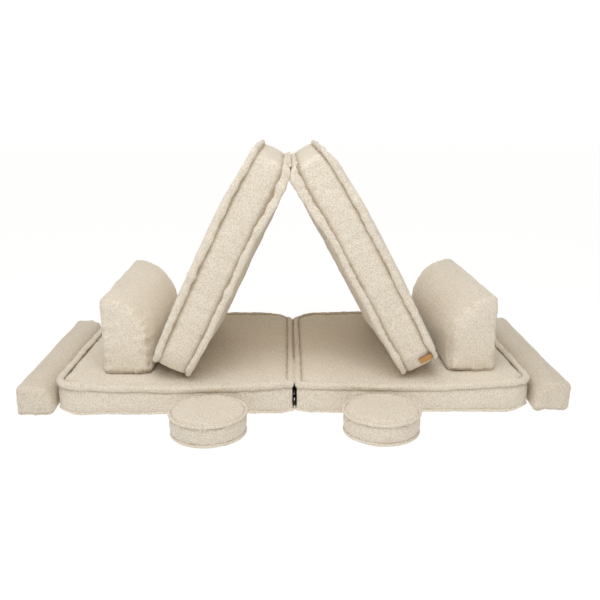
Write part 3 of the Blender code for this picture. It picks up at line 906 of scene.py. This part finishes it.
class SOFA_OT_foam_cores(bpy.types.Operator):
    """Cut the foam blocks that fill the covers"""

    bl_idname = "sofa.foam_cores"
    bl_label = "Foam cores"

    def execute(self, context):
        for half in HALVES:
            core = half_block(half.name + "_foam_block", half.thickness, 12 * MM, 9 * MM, 8 * MM, 8 * MM)
            remesh(core, 18 * MM)
            points = points_of(core)
            points[:, 0] *= half.width / MAT_WIDTH
            set_points(core, settle(points, half))
            put(core, half.place)
            finish_piece(core, half.body, cut_foam, [half.name + "_foam"])
        for shape in BOLSTERS:
            core = bolster_block(shape, shape.name + "_foam_block", 14 * MM, 6 * MM)
            bevel(core, either(lies(1, 14 * MM), lies(1, shape.size[1] - 14 * MM)), 12 * MM, 2)
            remesh(core, 12 * MM)
            set_points(core, lean_out(points_of(core), shape))
            put(core, shape.place)
            finish_piece(core, shape.name, cut_foam, [shape.name + "_foam"])
        for name, place in ROUNDS.items():
            core = add_drum(name + "_foam_block", ROUND_RADIUS - 10 * MM, 7 * MM, ROUND_HEIGHT - 4 * MM)
            bevel(core, either(lies(2, 7 * MM), lies(2, ROUND_HEIGHT - 4 * MM)), 4 * MM, 3)
            put(core, place)
            finish_piece(core, name, cut_foam, [name + "_foam"])
        return {"FINISHED"}


def tube_along(path, radius, sides):
    """Turns a line into a round tube."""
    pick(path)
    bpy.ops.object.convert(target="CURVE")
    path.data.dimensions = "3D"
    path.data.bevel_depth = radius
    path.data.bevel_resolution = sides // 2 - 2
    path.data.use_fill_caps = True
    bpy.ops.object.convert(target="MESH")
    return path


def roll_path(name, width, height):
    """A closed line along a rim, one roll's radius in."""
    low, high = Vector((ROLL, ROLL, height)), Vector((width - ROLL, MAT_DEPTH - ROLL, height))
    deselect()
    bpy.ops.mesh.primitive_plane_add(size=1, location=(low + high) / 2)
    path = named(name)
    path.scale = (high.x - low.x, high.y - low.y, 1)
    bpy.ops.object.transform_apply()
    for at_hinge, radius, cuts in ((True, HINGE_CORNER, 8), (False, END_CORNER, 28)):
        shape = edit(path, "VERT")
        choose(shape.verts, lambda v: (v.co.x < width / 2) == at_hinge)
        bpy.ops.mesh.bevel(offset=radius - ROLL, segments=cuts, affect="VERTICES")
        end_edit()
    edit(path, "FACE")
    bpy.ops.mesh.select_all(action="SELECT")
    bpy.ops.mesh.delete(type="ONLY_FACE")
    end_edit()
    shape = edit(path)
    choose(shape.edges, lambda e: e.calc_length() > 0.3)
    bpy.ops.mesh.subdivide(number_cuts=190)
    end_edit()
    return path


class SOFA_OT_mat_rolls(bpy.types.Operator):
    """Model the rolled seams round both faces of the four halves, and the cords at their hinges"""

    bl_idname = "sofa.mat_rolls"
    bl_label = "Mat rolls and hinge cords"

    def execute(self, context):
        for half in HALVES:
            for end, height, up in (("low", ROLL, -1), ("high", half.thickness - ROLL, 1)):
                self.make_roll(half, end, height, up)
        self.make_cord("base", HALVES[0], (0, 0, BASE_THICKNESS - 9 * MM), CORD, 45 * MM)
        # The tent's cord hangs a little below the hinge and is thicker with the fabric gathered on it.
        self.make_cord("tent_hinge", HALVES[2], (6 * MM, 0, 0), 2 * CORD, 0)
        return {"FINISHED"}

    def make_roll(self, half, end, height, up):
        roll = tube_along(roll_path(f"{half.name}_roll_{end}", half.width, height), ROLL, 20)
        points = points_of(roll)
        inset, edge = outline_reach(points, half.width)
        inward, outward = inset - ROLL, (points[:, 2] - height) * up
        lumps = 0.10 * ripple(edge, 0.045, half.seed + 70) + 0.06 * ripple(edge, 0.018, half.seed + 71)
        # Darker on the roll's side towards its crease: parted pile, with painted shade in the crease.
        parted_pile_and_painted_shade = ease((inward - outward) / ROLL, 0.45, 1.1)
        swells = lumps * ROLL
        if half.tent:
            # The tent's rolls are drawn tighter, and most at its feet.
            swells -= 1.5 * MM + 1.5 * MM * ease(points[:, 0] / half.width, 0.85, 1)
            points[:, 2] += 1.5 * MM * up
        elif end == "high":
            # Painted shade along the back of the hinge valley.
            painted_hinge_shade = (1 - ease(points[:, 0], 2 * MM, 6 * MM)) * ease(points[:, 1], 0.18, 0.28)
            parted_pile_and_painted_shade = np.maximum(parted_pile_and_painted_shade, painted_hinge_shade)
            proud = ease(points[:, 1], MAT_DEPTH - 0.05, MAT_DEPTH - 0.03)
            proud = np.maximum(proud, ease(points[:, 0], half.width - 0.07, half.width - 0.04))
            points[:, 2] += 4 * MM * proud * ease(points[:, 1], 0.04, 0.10)
        else:
            # Painted shade in the slot at the front of the hinge.
            slot = (1 - ease(points[:, 0], 6 * MM, 12 * MM)) * ease(points[:, 1], 10 * MM, 24 * MM)
            parted_pile_and_painted_shade = np.maximum(parted_pile_and_painted_shade, slot * (1 - ease(points[:, 1], 0.2, 0.3)))
        points += normals_of(roll) * swells[:, None]
        points[:, 2] += ripple(edge, 0.16, half.seed + 72) * 1.6 * MM * up
        if not half.tent and end == "low":
            points = self.tuck_under(points, half.width)
        if not half.tent and end == "high":
            # The front roll droops over the crease below it.
            droop = 1 - ease(points[:, 1], 0.030, 0.060)
            points[:, 2] -= 3 * MM * droop * np.clip((height - points[:, 2]) / ROLL, 0, 1)
            parted_pile_and_painted_shade *= 1 - droop * ease(points[:, 1] - 16 * MM, 0, 4 * MM)
        inner = half.tent and end == "low"
        if inner:
            share = np.clip(1.2 - 0.8 * points[:, 2] / (2 * ROLL), 0, 1)
            points[:, 2] -= hinge_gather(points[:, 0], half) * share
        set_points(roll, settle(points, half))
        mark(roll, "seam", parted_pile_and_painted_shade)
        put(roll, half.place)
        tufts(roll, 0.8)
        node = f"{half.name}_piping_{end}"
        finish_piece(roll, half.body, wool_boucle, [node])
        if inner:
            press_flat(roll)

    def tuck_under(self, points, width):
        """Presses the base's low roll flat below the edge, where the mat's weight holds it."""
        middle = np.array((width / 2, MAT_DEPTH / 2))
        moved = points.copy()
        moved[:, :2] = middle + (points[:, :2] - middle) * (1 - 2.5 * MM / middle)
        moved[:, 0] = np.where(points[:, 0] < width / 2, points[:, 0], moved[:, 0])
        moved[:, 2] = points[:, 2] * 0.55 + 1.2 * MM
        return moved

    def make_cord(self, body, half, at, radius, short):
        """The covered cord that joins two halves along their hinge."""
        deselect()
        bpy.ops.mesh.primitive_plane_add(size=1, location=(0, (MAT_DEPTH - short) / 2, 0))
        cord = named(body.replace("_hinge", "") + "_covered_hinge_cord")
        cord.scale = (0.1, MAT_DEPTH - short - 2 * HINGE_CORNER, 1)
        bpy.ops.object.transform_apply()
        shape = edit(cord, "VERT")
        choose(shape.verts, lambda v: v.co.x > 0)
        bpy.ops.mesh.delete(type="VERT")
        end_edit()
        points = points_of(cord)
        points[:, 0] = 0
        set_points(cord, points)
        shape = edit(cord)
        choose(shape.edges, lambda e: True)
        bpy.ops.mesh.subdivide(number_cuts=150)
        end_edit()
        tube_along(cord, radius, 12)
        points = points_of(cord)
        points += normals_of(cord) * (ripple(points, 0.02, 91) * 0.4 * MM)[:, None]
        set_points(cord, points + at)
        # Painted shade along the back of the base's hinge valley.
        mark(cord, "seam", (body == "base") * 0.9 * ease(points[:, 1], 0.18, 0.28))
        put(cord, half.place)
        node = "base_hinge_cord" if body == "base" else "tent_hinge_cord"
        finish_piece(cord, body, wool_boucle, [node])


# Bolsters


class Bolster:
    """A bolster's shape, seen from the front with its back at 0 and its round side at +x."""

    def __init__(self, name, size, arch, eased, corner, side, turn, lean, seed):
        self.name, self.size, self.arch, self.eased = name, size, arch, eased
        self.lean, self.seed = lean, seed
        self.place = (
            Matrix.Translation(corner) @ Matrix.Rotation(turn, 4, "Z") @ Matrix.Diagonal((side, 1, 1, 1))
        )


def make_bolster_shapes():
    slide = next(j for j in frame["joints"] if j["name"] == "tall_bolster_right_zip")
    turn = math.atan2(-slide["axis"][0], slide["axis"][1])
    tall = (TALL_WIDTH, TALL_LENGTH, TALL_HEIGHT), TALL_ARCH, TALL_EASED
    low = (LOW_WIDTH, LOW_LENGTH, LOW_HEIGHT), LOW_ARCH, LOW_EASED
    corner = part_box("tall_bolster_left_cover")[0]
    left = (corner.x, MAT_FRONT + TALL_SETBACK, corner.z)
    right = (TALL_RIGHT_BACK, MAT_FRONT + TALL_SETBACK, corner.z)
    low_left = (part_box("low_bolster_left_cover")[0].x, MAT_FRONT, 0)
    low_right = (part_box("low_bolster_right_cover")[1].x, MAT_FRONT, 0)
    return [
        Bolster("tall_bolster_left", *tall, left, 1, 0, 20 * MM, 21),
        Bolster("tall_bolster_right", *tall, right, -1, turn, 10 * MM, 22),
        Bolster("low_bolster_left", *low, low_left, 1, 0, 15 * MM, 23),
        Bolster("low_bolster_right", *low, low_right, -1, 0, 15 * MM, 24),
    ]


BOLSTERS = make_bolster_shapes()


def bolster_block(shape, name, side, foot):
    """A bolster's block with its great arch, the same all round inside its outline."""
    width, length, height = shape.size
    low, high = Vector((side, side, foot)), Vector((width - side, length - side, height - side))
    block = add_box(name, low, high)
    lengthwise = lambda edge: abs(edge.verts[0].co.y - edge.verts[1].co.y) > length / 2
    top = both(lengthwise, lies(2, high.z))
    bevel(block, both(top, lies(0, high.x)), shape.arch - side, 16)
    bevel(block, both(top, lies(0, low.x)), shape.eased - side / 2, 8)
    bevel(block, both(lengthwise, lies(2, low.z)), 8 * MM, 2)
    return block


def tall_share(shape):
    """1 for a tall bolster, whose own weight draws its seams in, and 0 for a low one."""
    return float(shape.size[2] > LOW_HEIGHT)


def lean_out(points, shape):
    """Leans a bolster outwards and up towards its far end, its foam and its cover alike."""
    _, length, height = shape.size
    high = np.clip(points[:, 2] / height, 0, 1)
    far = np.clip(points[:, 1] / length, 0, 1)
    moved = points.copy()
    moved[:, 0] -= shape.lean * far * ease(high, 0.2, 0.7)
    moved[:, 2] += (8 - 4 * tall_share(shape)) * MM * far * high
    return moved


def end_loop(block, y):
    """The outline of a block's end face, as a closed line."""
    points = points_of(block)
    rim = points[np.abs(points[:, 1] - y) < MM / 10]
    middle = rim.mean(0)
    return rim[np.argsort(np.arctan2(rim[:, 2] - middle[2], rim[:, 0] - middle[0]))]


class SOFA_OT_bolsters(bpy.types.Operator):
    """Model the padded covers of the two tall and the two low bolsters"""

    bl_idname = "sofa.bolsters"
    bl_label = "Bolsters"

    def execute(self, context):
        masters = {}
        for shape in BOLSTERS:
            if shape.size not in masters:
                masters[shape.size] = self.make_master(shape)
            self.make_cover(shape, *masters[shape.size])
        for master, _ in masters.values():
            bpy.data.objects.remove(master)
        return {"FINISHED"}

    def make_master(self, shape):
        """One swollen bolster, which its left and right copies share, and the outlines of its ends."""
        side, foot = 5 * MM, 1.5 * MM
        master = bolster_block(shape, "bolster_master", side, foot)
        loops = [end_loop(master, y) for y in (side, shape.size[1] - side)]
        bevel(master, either(lies(1, side), lies(1, shape.size[1] - side)), 16 * MM, 3)
        remesh(master, bpy.context.scene.sofa_padding.voxel)
        swell(master, 5 * MM, points_of(master)[:, 2] < foot + 3 * MM)
        return subdivide(master), loops

    def make_cover(self, shape, master, loops):
        width, length, height = shape.size
        cover = copy_of(master, shape.name + "_padded_cover")
        points = points_of(cover)
        found = [to_loop(points, loop) for loop in loops]
        distance = np.minimum(found[0][0], found[1][0])
        nearest = np.where((found[0][0] < found[1][0])[:, None], found[0][1], found[1][1])
        distance = np.maximum(distance - 8 * MM, 0)
        # The end seams hide in the pile. They only part low down on the round side.
        drawn = ease(nearest[:, 0], width * 0.6, width * 0.9) * (1 - ease(nearest[:, 2], 0.10, 0.17))
        drawn *= tall_share(shape)
        hem = np.exp(-(((points[:, 2] - 9 * MM) / (3 * MM)) ** 2))
        pucker(cover, distance, nearest, shape.seed, 1.8 * MM)
        swells = ripple(points, 0.15, shape.seed + 50) * 1.3 * MM
        swells -= 3 * MM * drawn * np.exp(-((distance / (6 * MM)) ** 2)) + 2.2 * MM * hem
        gathers = ripple(points * (1, 1, 0.2), 0.016, shape.seed + 52)
        swells += gathers * 1.1 * MM * np.exp(-((points[:, 2] - 9 * MM) / (16 * MM)) ** 2)
        press = 1 - ease(np.abs(points[:, 2] - BOLSTER_ZIP_HEIGHT), 5 * MM, 12 * MM)
        end_room = np.minimum(points[:, 1], length - points[:, 1])
        press *= ease(end_room, BOLSTER_ZIP_END_ROOM - 12 * MM, BOLSTER_ZIP_END_ROOM)
        swells -= press * (1 - ease(points[:, 0], 0.02, 0.03)) * 1.5 * MM
        points = points_of(cover) + normals_of(cover) * swells[:, None]
        points = lean_out(points, shape)
        # A tall one's front sinks into the base.
        high = np.clip(points[:, 2] / height, 0, 1)
        near = 7 * MM * tall_share(shape) * (1 - ease(points[:, 1], 0.02, 0.16))
        points[:, 2] -= near * (1 - np.clip(high * 2.5, 0, 1))
        points[:, 1] -= near * (1 - ease(high, 0.3, 1)) * (1 - ease(points[:, 1], 0, 0.03))
        points[:, 2] = np.maximum(points[:, 2], 0.5 * MM - near)
        set_points(cover, points)
        # Darker beside the drawn-in seams low on the round side, as parted pile with painted shade, and
        # painted shade along the bottom hem.
        parted_pile_and_painted_shade = 0.5 * drawn * np.exp(-distance / (3 * MM)) + 0.3 * hem * (1 + tall_share(shape))
        # The low ones, which stand on the floor, are darkened a little all over: painted shade.
        parted_pile_and_painted_shade += 0.2 * (1 - tall_share(shape))
        mark(cover, "seam", np.clip(parted_pile_and_painted_shade, 0, 1))
        put(cover, shape.place)
        tufts(cover)
        finish_piece(cover, shape.name, wool_boucle, [shape.name + "_cover"])


# Round cushions


def round_places():
    places = {}
    for name in ("round_cushion_left", "round_cushion_right"):
        low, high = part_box(name + "_cover")
        places[name] = Matrix.Translation(((low.x + high.x) / 2, (low.y + high.y) / 2, 0))
    return places


ROUNDS = round_places()


def add_drum(name, radius, low, high):
    deselect()
    middle = (0, 0, (low + high) / 2)
    bpy.ops.mesh.primitive_cylinder_add(vertices=72, radius=radius, depth=high - low, location=middle)
    drum = named(name)
    bpy.ops.object.transform_apply()
    return drum


class SOFA_OT_round_cushions(bpy.types.Operator):
    """Model the covers and thin rolled seams of the two round cushions"""

    bl_idname = "sofa.round_cushions"
    bl_label = "Round cushions"

    def execute(self, context):
        master = self.make_master()
        for index, (name, place) in enumerate(ROUNDS.items()):
            self.make_cover(name, place, 31 + index, master)
            for end, height in (("low", ROUND_ROLL + 1.5 * MM), ("high", ROUND_HEIGHT - ROUND_ROLL)):
                self.make_roll(name, end, height, place, 35 + index)
        bpy.data.objects.remove(master)
        return {"FINISHED"}

    def make_master(self):
        """One swollen round cushion, which both copies share."""
        radius, low, high = ROUND_RADIUS - 5 * MM, 2 * MM, ROUND_HEIGHT + 1 * MM
        master = add_drum("round_master", radius, low, high)
        bevel(master, lies(2, high), 7 * MM, 3)
        bevel(master, lies(2, low), 13 * MM, 4)
        remesh(master, 5 * MM)
        swell(master, 4 * MM, points_of(master)[:, 2] < low + 2 * MM)
        return subdivide(master)

    def make_cover(self, name, place, seed, master):
        cover = copy_of(master, name + "_padded_cover")
        points = points_of(cover)
        flat = np.hypot(points[:, 0], points[:, 1])
        rim = points.copy()
        rim[:, :2] *= (ROUND_RADIUS - ROUND_ROLL) / np.maximum(flat, 1e-6)[:, None]
        rim[:, 2] = np.where(points[:, 2] > ROUND_HEIGHT / 2, ROUND_HEIGHT - ROUND_ROLL, ROUND_ROLL)
        distance = np.maximum(np.linalg.norm(points - rim, axis=1) - ROUND_ROLL, 0)
        pucker(cover, distance, rim, seed, 1.0 * MM, reach=0.020, length=0.024)
        points = self.taper(points_of(cover))
        points[:, 2] = np.maximum(points[:, 2], 0.5 * MM)
        set_points(cover, points)
        # Darker beside the rolls: parted pile, with painted shade in the creases.
        mark(cover, "seam", np.exp(-distance / (2.5 * MM)) * 0.4)
        put(cover, place)
        tufts(cover, 0.8)
        finish_piece(cover, name, wool_boucle, [name + "_cover"])

    def taper(self, points):
        """Draws the cushion in below its middle."""
        drawn = 1 - 0.035 * (1 - ease(points[:, 2], 0, 0.55 * ROUND_HEIGHT))
        return points * np.column_stack((drawn, drawn, drawn * 0 + 1))

    def make_roll(self, name, end, height, place, seed):
        deselect()
        reach = ROUND_RADIUS - ROUND_ROLL
        bpy.ops.mesh.primitive_circle_add(vertices=240, radius=reach, location=(0, 0, height))
        path = named(f"{name}_roll_{end}")
        bpy.ops.object.transform_apply()
        roll = tube_along(path, ROUND_ROLL, 14)
        points = points_of(roll)
        points += normals_of(roll) * (ripple(points, 0.030, seed) * 0.3 * MM)[:, None]
        points[:, 2] += ripple(points, 0.09, seed + 5) * 0.8 * MM
        points = self.taper(points)
        points[:, 2] = np.maximum(points[:, 2], 0.8 * MM)
        set_points(roll, points)
        put(roll, place)
        tufts(roll, 0.3)
        finish_piece(roll, name, wool_boucle, [f"{name}_piping_{end}"])


# Zips and tag


class Zip:
    """A zip: its length, the matrix from its own frame, and for a round cushion its radius."""

    def __init__(self, name, body, length, place, radius=None):
        self.name, self.body, self.length, self.place, self.radius = name, body, length, place, radius

    def wrap(self, points):
        """Bends a straight zip round a round cushion."""
        if self.radius is None:
            return points
        angle = (points[:, 0] - self.length / 2) / self.radius
        out = self.radius + points[:, 1]
        return np.column_stack((out * np.sin(angle), out * np.cos(angle), points[:, 2]))


def make_zips():
    zips = []
    for half in HALVES:
        start = (MAT_ZIP_END_ROOM, MAT_DEPTH - MAT_BAND_INSET, half.thickness / 2)
        place = half.place @ Matrix.Translation(start)
        zips.append(Zip(half.name, half.body, half.width - 2 * MAT_ZIP_END_ROOM, place))
    for shape in BOLSTERS:
        turn = Matrix.Rotation(math.radians(90), 4, "Z")
        place = shape.place @ Matrix.Translation((0, BOLSTER_ZIP_END_ROOM, BOLSTER_ZIP_HEIGHT)) @ turn
        zips.append(Zip(shape.name, shape.name, shape.size[1] - 2 * BOLSTER_ZIP_END_ROOM, place))
    for name, place in ROUNDS.items():
        radius = ROUND_RADIUS - ROUND_BAND_INSET
        place = place @ Matrix.Translation((0, 0, ROUND_HEIGHT / 2))
        zips.append(Zip(name, name, 2 * ROUND_ZIP_REACH * radius, place, radius))
    return zips


class SOFA_OT_zips(bpy.types.Operator):
    """Model the ten hidden zips: woven tape, coil teeth and two folded lips, and finish the sliders"""

    bl_idname = "sofa.zips"
    bl_label = "Zips"

    def execute(self, context):
        for one in make_zips():
            self.make_tape(one)
            self.make_teeth(one)
            self.make_lips(one)
            slider = bpy.data.objects[one.name + "_zip_slider"]
            for slot in slider.material_slots:
                slot.material = ready(tumbled_zinc)
        return {"FINISHED"}

    def lay(self, piece, one):
        set_points(piece, one.wrap(points_of(piece)))
        return put(piece, one.place)

    def long_strip(self, name, low, high, cuts):
        """A strip along the zip, cut across often enough to bend."""
        strip = add_box(name, low, high)
        shape = edit(strip)
        choose(shape.edges, lambda e: abs(e.verts[0].co.x - e.verts[1].co.x) > MM)
        bpy.ops.mesh.subdivide(number_cuts=cuts)
        end_edit()
        return strip

    def make_tape(self, one):
        low = (0, TAPE_FACE - TAPE_THICKNESS, -TAPE_WIDTH / 2)
        high = (one.length, TAPE_FACE, TAPE_WIDTH / 2)
        tape = self.long_strip(one.name + "_woven_zip_tape", low, high, 60)
        lengthwise = lambda edge: abs(edge.verts[0].co.z - edge.verts[1].co.z) < MM
        bevel(tape, both(lies(1, TAPE_FACE), lengthwise), 0.3 * MM, 1)
        self.lay(tape, one)
        finish_piece(tape, one.body, woven_polyester, [one.name + "_zip_tape"])

    def make_teeth(self, one):
        rows = []
        for row, side in enumerate((-1, 1)):
            start = (1 + row / 2) * TEETH_STEP
            near, far = sorted((side * TEETH_WIDTH / 2, -side * 0.4 * MM))
            low = (start, TAPE_FACE - 0.2 * MM, near)
            high = (start + 0.5 * TEETH_STEP, TEETH_PROUD, far)
            tooth = add_box(f"{one.name}_teeth_{row}", low, high)
            bevel(tooth, lies(1, TEETH_PROUD), 0.35 * MM, 1)
            repeat(tooth, int(one.length / TEETH_STEP) - 2, (TEETH_STEP, 0, 0))
            rows.append(tooth)
        teeth = self.lay(join(rows, one.name + "_coil_zip_teeth"), one)
        finish_piece(teeth, one.body, nylon_coil)

    def make_lips(self, one):
        strips = []
        for side in (-1, 1):
            near, far = sorted((side * LIP_INNER, side * LIP_OUTER))
            low, high = (-8 * MM, -5 * MM, near), (one.length + 8 * MM, -0.2 * MM, far)
            strips.append(self.long_strip(f"{one.name}_lip_{side}", low, high, 120))
        for start in (-9 * MM, one.length - 1 * MM):
            tack = ((start, -5 * MM, -LIP_OUTER), (start + 10 * MM, 0.1 * MM, LIP_OUTER))
            strips.append(add_box(f"{one.name}_tack", *tack))
        for strip in strips:
            top = points_of(strip)[:, 1].max()
            bevel(strip, both(lies(1, top), lambda e: e.calc_length() > 0.2 * MM), 1.3 * MM, 2)
        lips = join(strips, one.name + "_zip_lips")
        points = points_of(lips)
        outward = ease(points[:, 1], -2 * MM, 0)
        points[:, 1] -= outward * (0.5 + 0.5 * ripple(points, 0.02, 77)).clip(0, 1) * 0.7 * MM
        set_points(lips, points)
        self.lay(lips, one)
        finish_piece(lips, one.body, wool_boucle)


class SOFA_OT_tag(bpy.types.Operator):
    """Model the bare leather tag and its stitches"""

    bl_idname = "sofa.tag"
    bl_label = "Leather tag"

    def execute(self, context):
        half = HALVES[3]
        tag = add_box("bare_leather_tag", (0, 0, 0), (TAG_WIDTH, TAG_THICKNESS, TAG_LENGTH))
        upright = lambda edge: abs(edge.verts[0].co.y - edge.verts[1].co.y) > MM
        bevel(tag, upright, 2 * MM, 4)
        bevel(tag, either(lies(1, 0), lies(1, TAG_THICKNESS)), 0.35 * MM, 2)
        remesh(tag, 0.7 * MM)
        points = points_of(tag)
        rim = np.minimum(np.minimum(points[:, 0], TAG_WIDTH - points[:, 0]), TAG_LENGTH - points[:, 2])
        rim = np.minimum(rim, points[:, 2])
        sewn = np.abs(np.minimum(points[:, 2], TAG_LENGTH - points[:, 2]) - 3 * MM)
        points[:, 1] -= np.exp(-((sewn / (0.8 * MM)) ** 2)) * 0.3 * MM * (points[:, 1] > TAG_THICKNESS / 2)
        set_points(tag, self.wrap(points, half))
        # Darker at the cut rims, and darker towards the top over its last 7 mm.
        dark = 1 - ease(rim, 0.2 * MM, 1.0 * MM) + 0.8 * ease(points[:, 2], TAG_LENGTH - 7 * MM, TAG_LENGTH)
        mark(tag, "edge", np.clip(dark, 0, 1))
        put(tag, half.place)
        finish_piece(tag, half.body, tanned_leather, ["leather_tag"])

        deselect()
        bpy.ops.mesh.primitive_cylinder_add(
            vertices=8, radius=0.4 * MM, depth=2.2 * MM, rotation=(0, math.radians(90), 0)
        )
        stitch = named("tag_stitches")
        bpy.ops.object.transform_apply()
        bevel(stitch, lambda e: abs(e.verts[0].co.x - e.verts[1].co.x) < MM / 10, 0.2 * MM, 1)
        stitch.data.transform(Matrix.Translation((2.6 * MM, TAG_THICKNESS - 0.1 * MM, 3 * MM)))
        repeat(stitch, 6, (3.3 * MM, 0, 0))
        repeat(stitch, 2, (0, 0, TAG_LENGTH - 6 * MM))
        set_points(stitch, self.wrap(points_of(stitch), half))
        put(stitch, half.place)
        finish_piece(stitch, half.body, waxed_thread)
        return {"FINISHED"}

    def wrap(self, points, half):
        """Lays the flat tag round the mat's upright corner."""
        out = TAG_RADIUS + points[:, 1]
        angle = TAG_TURN + (points[:, 0] - TAG_WIDTH / 2) / TAG_RADIUS
        x = half.width - END_CORNER + out * np.sin(angle)
        y = END_CORNER - out * np.cos(angle)
        z = points[:, 2] - TAG_LENGTH / 2 + TAG_HEIGHT_SHARE * half.thickness
        return settle(np.column_stack((x, y, z)), half)


# Stage


class SOFA_OT_stage(bpy.types.Operator):
    """Set the camera, the pale floor and the soft studio light"""

    bl_idname = "sofa.stage"
    bl_label = "Stage"

    def execute(self, context):
        stage = context.scene.sofa_stage
        deselect()
        bpy.ops.mesh.primitive_plane_add(size=60, location=(0, 0, 0))
        floor = named("floor")
        made, tree, shader = new_material("floor_paint", roughness=0.9)
        shader.inputs["Base Color"].default_value = (*stage.floor, 1)
        shader.inputs["Emission Color"].default_value = (1, 1, 1, 1)
        shader.inputs["Emission Strength"].default_value = stage.floor_glow
        floor.data.materials.append(made)

        # White behind the set, and an even dimmer light from above and in front
        world = bpy.data.worlds.new("studio")
        world.use_nodes = True
        tree = world.node_tree
        way = add_node(tree, "ShaderNodeTexCoord").outputs["Generated"]
        ways = add_node(tree, "ShaderNodeSeparateXYZ", {0: way})
        low, behind = (
            add_node(
                tree, "ShaderNodeMapRange", {"Value": ways.outputs[axis], "From Min": start, "From Max": end}
            ).outputs[0]
            for axis, start, end in ((2, 0.38, 0.22), (1, -0.1, 0.3))
        )
        white = add_node(tree, "ShaderNodeMath", {0: low, 1: behind}, operation="MULTIPLY").outputs[0]
        glow = add_node(
            tree, "ShaderNodeMapRange", {"Value": white, "To Min": stage.sky, "To Max": stage.backdrop}
        )
        tree.links.new(glow.outputs[0], tree.nodes["Background"].inputs["Strength"])
        # The dimmer light is a little warm, and the front and top lights are a little cool.
        tint = add_node(
            tree, "ShaderNodeMix", {0: white, 6: (*stage.sky_colour, 1), 7: (1, 1, 1, 1)}, data_type="RGBA"
        )
        tree.links.new(tint.outputs[2], tree.nodes["Background"].inputs["Color"])
        context.scene.world = world

        lights = (("front_light", stage.key, (-0.3, -2.4, 3.05)), ("top_light", stage.top, (-0.4, -1.2, 3.8)))
        for name, power, place in lights:
            light = bpy.data.lights.new(name, "AREA")
            light.shape = "RECTANGLE"
            light.size, light.size_y = 3.6, 2.4
            light.energy, light.color = power, stage.lamp_colour
            self.hang(light, place, (0, 0.1, 0.3))

        # A soft narrow light from behind falls through the tent on the base.
        beam = bpy.data.lights.new("tunnel_light", "SPOT")
        beam.energy, beam.color = stage.tunnel, stage.tunnel_colour
        beam.spot_size, beam.spot_blend = math.radians(24), 1
        beam.shadow_soft_size = 0.35
        self.hang(beam, (0, 2.6, 1.75), (0, -0.32, 0.1))

        camera = bpy.data.objects.new("camera", bpy.data.cameras.new("camera"))
        camera.data.sensor_width = 36
        camera.data.lens = 36 * FOCAL_PIXELS / PHOTO_PIXELS
        camera.data.clip_end = 100
        camera.location = CAMERA_PLACE
        turn = Matrix.Rotation(-CAMERA_YAW, 4, "Z") @ Matrix.Rotation(math.radians(90) - CAMERA_PITCH, 4, "X")
        camera.rotation_euler = (turn @ Matrix.Rotation(CAMERA_ROLL, 4, "Z")).to_euler()
        context.scene.collection.objects.link(camera)
        context.scene.camera = camera
        context.scene.view_settings.view_transform = "Standard"
        return {"FINISHED"}

    def hang(self, light, place, aim):
        """Hangs a light and turns it to what it lights."""
        lamp = bpy.data.objects.new(light.name, light)
        lamp.location = place
        lamp.rotation_euler = (Vector(aim) - lamp.location).to_track_quat("-Z", "Y").to_euler()
        bpy.context.scene.collection.objects.link(lamp)


STEPS = (
    SOFA_OT_stage,
    SOFA_OT_mat_covers,
    SOFA_OT_mat_rolls,
    SOFA_OT_bolsters,
    SOFA_OT_round_cushions,
    SOFA_OT_foam_cores,
    SOFA_OT_zips,
    SOFA_OT_tag,
)
SETTINGS = {
    "sofa_boucle": BoucleSettings,
    "sofa_padding": PaddingSettings,
    "sofa_trim": TrimSettings,
    "sofa_stage": StageSettings,
}


class SOFA_PT_panel(bpy.types.Panel):
    """The steps that finish the play sofa, and what a user may change"""

    bl_label = "Play sofa"
    bl_idname = "SOFA_PT_panel"
    bl_space_type = "VIEW_3D"
    bl_region_type = "UI"
    bl_category = "Play sofa"

    def draw(self, context):
        for name, group in SETTINGS.items():
            box = self.layout.box()
            for key in group.__annotations__:
                box.prop(getattr(context.scene, name), key)
        for step in STEPS:
            self.layout.operator(step.bl_idname)


def register():
    for cls in (*SETTINGS.values(), *STEPS, SOFA_PT_panel):
        bpy.utils.register_class(cls)
    for name, group in SETTINGS.items():
        setattr(bpy.types.Scene, name, PointerProperty(type=group))


def unregister():
    for name in SETTINGS:
        delattr(bpy.types.Scene, name)
    for cls in (SOFA_PT_panel, *reversed(STEPS), *reversed(SETTINGS.values())):
        bpy.utils.unregister_class(cls)


def main():
    register()
    bpy.ops.sofa.stage()
    bpy.ops.sofa.mat_covers()
    bpy.ops.sofa.mat_rolls()
    bpy.ops.sofa.bolsters()
    bpy.ops.sofa.round_cushions()
    bpy.ops.sofa.foam_cores()
    bpy.ops.sofa.zips()
    bpy.ops.sofa.tag()


if __name__ == "__main__":
    main()
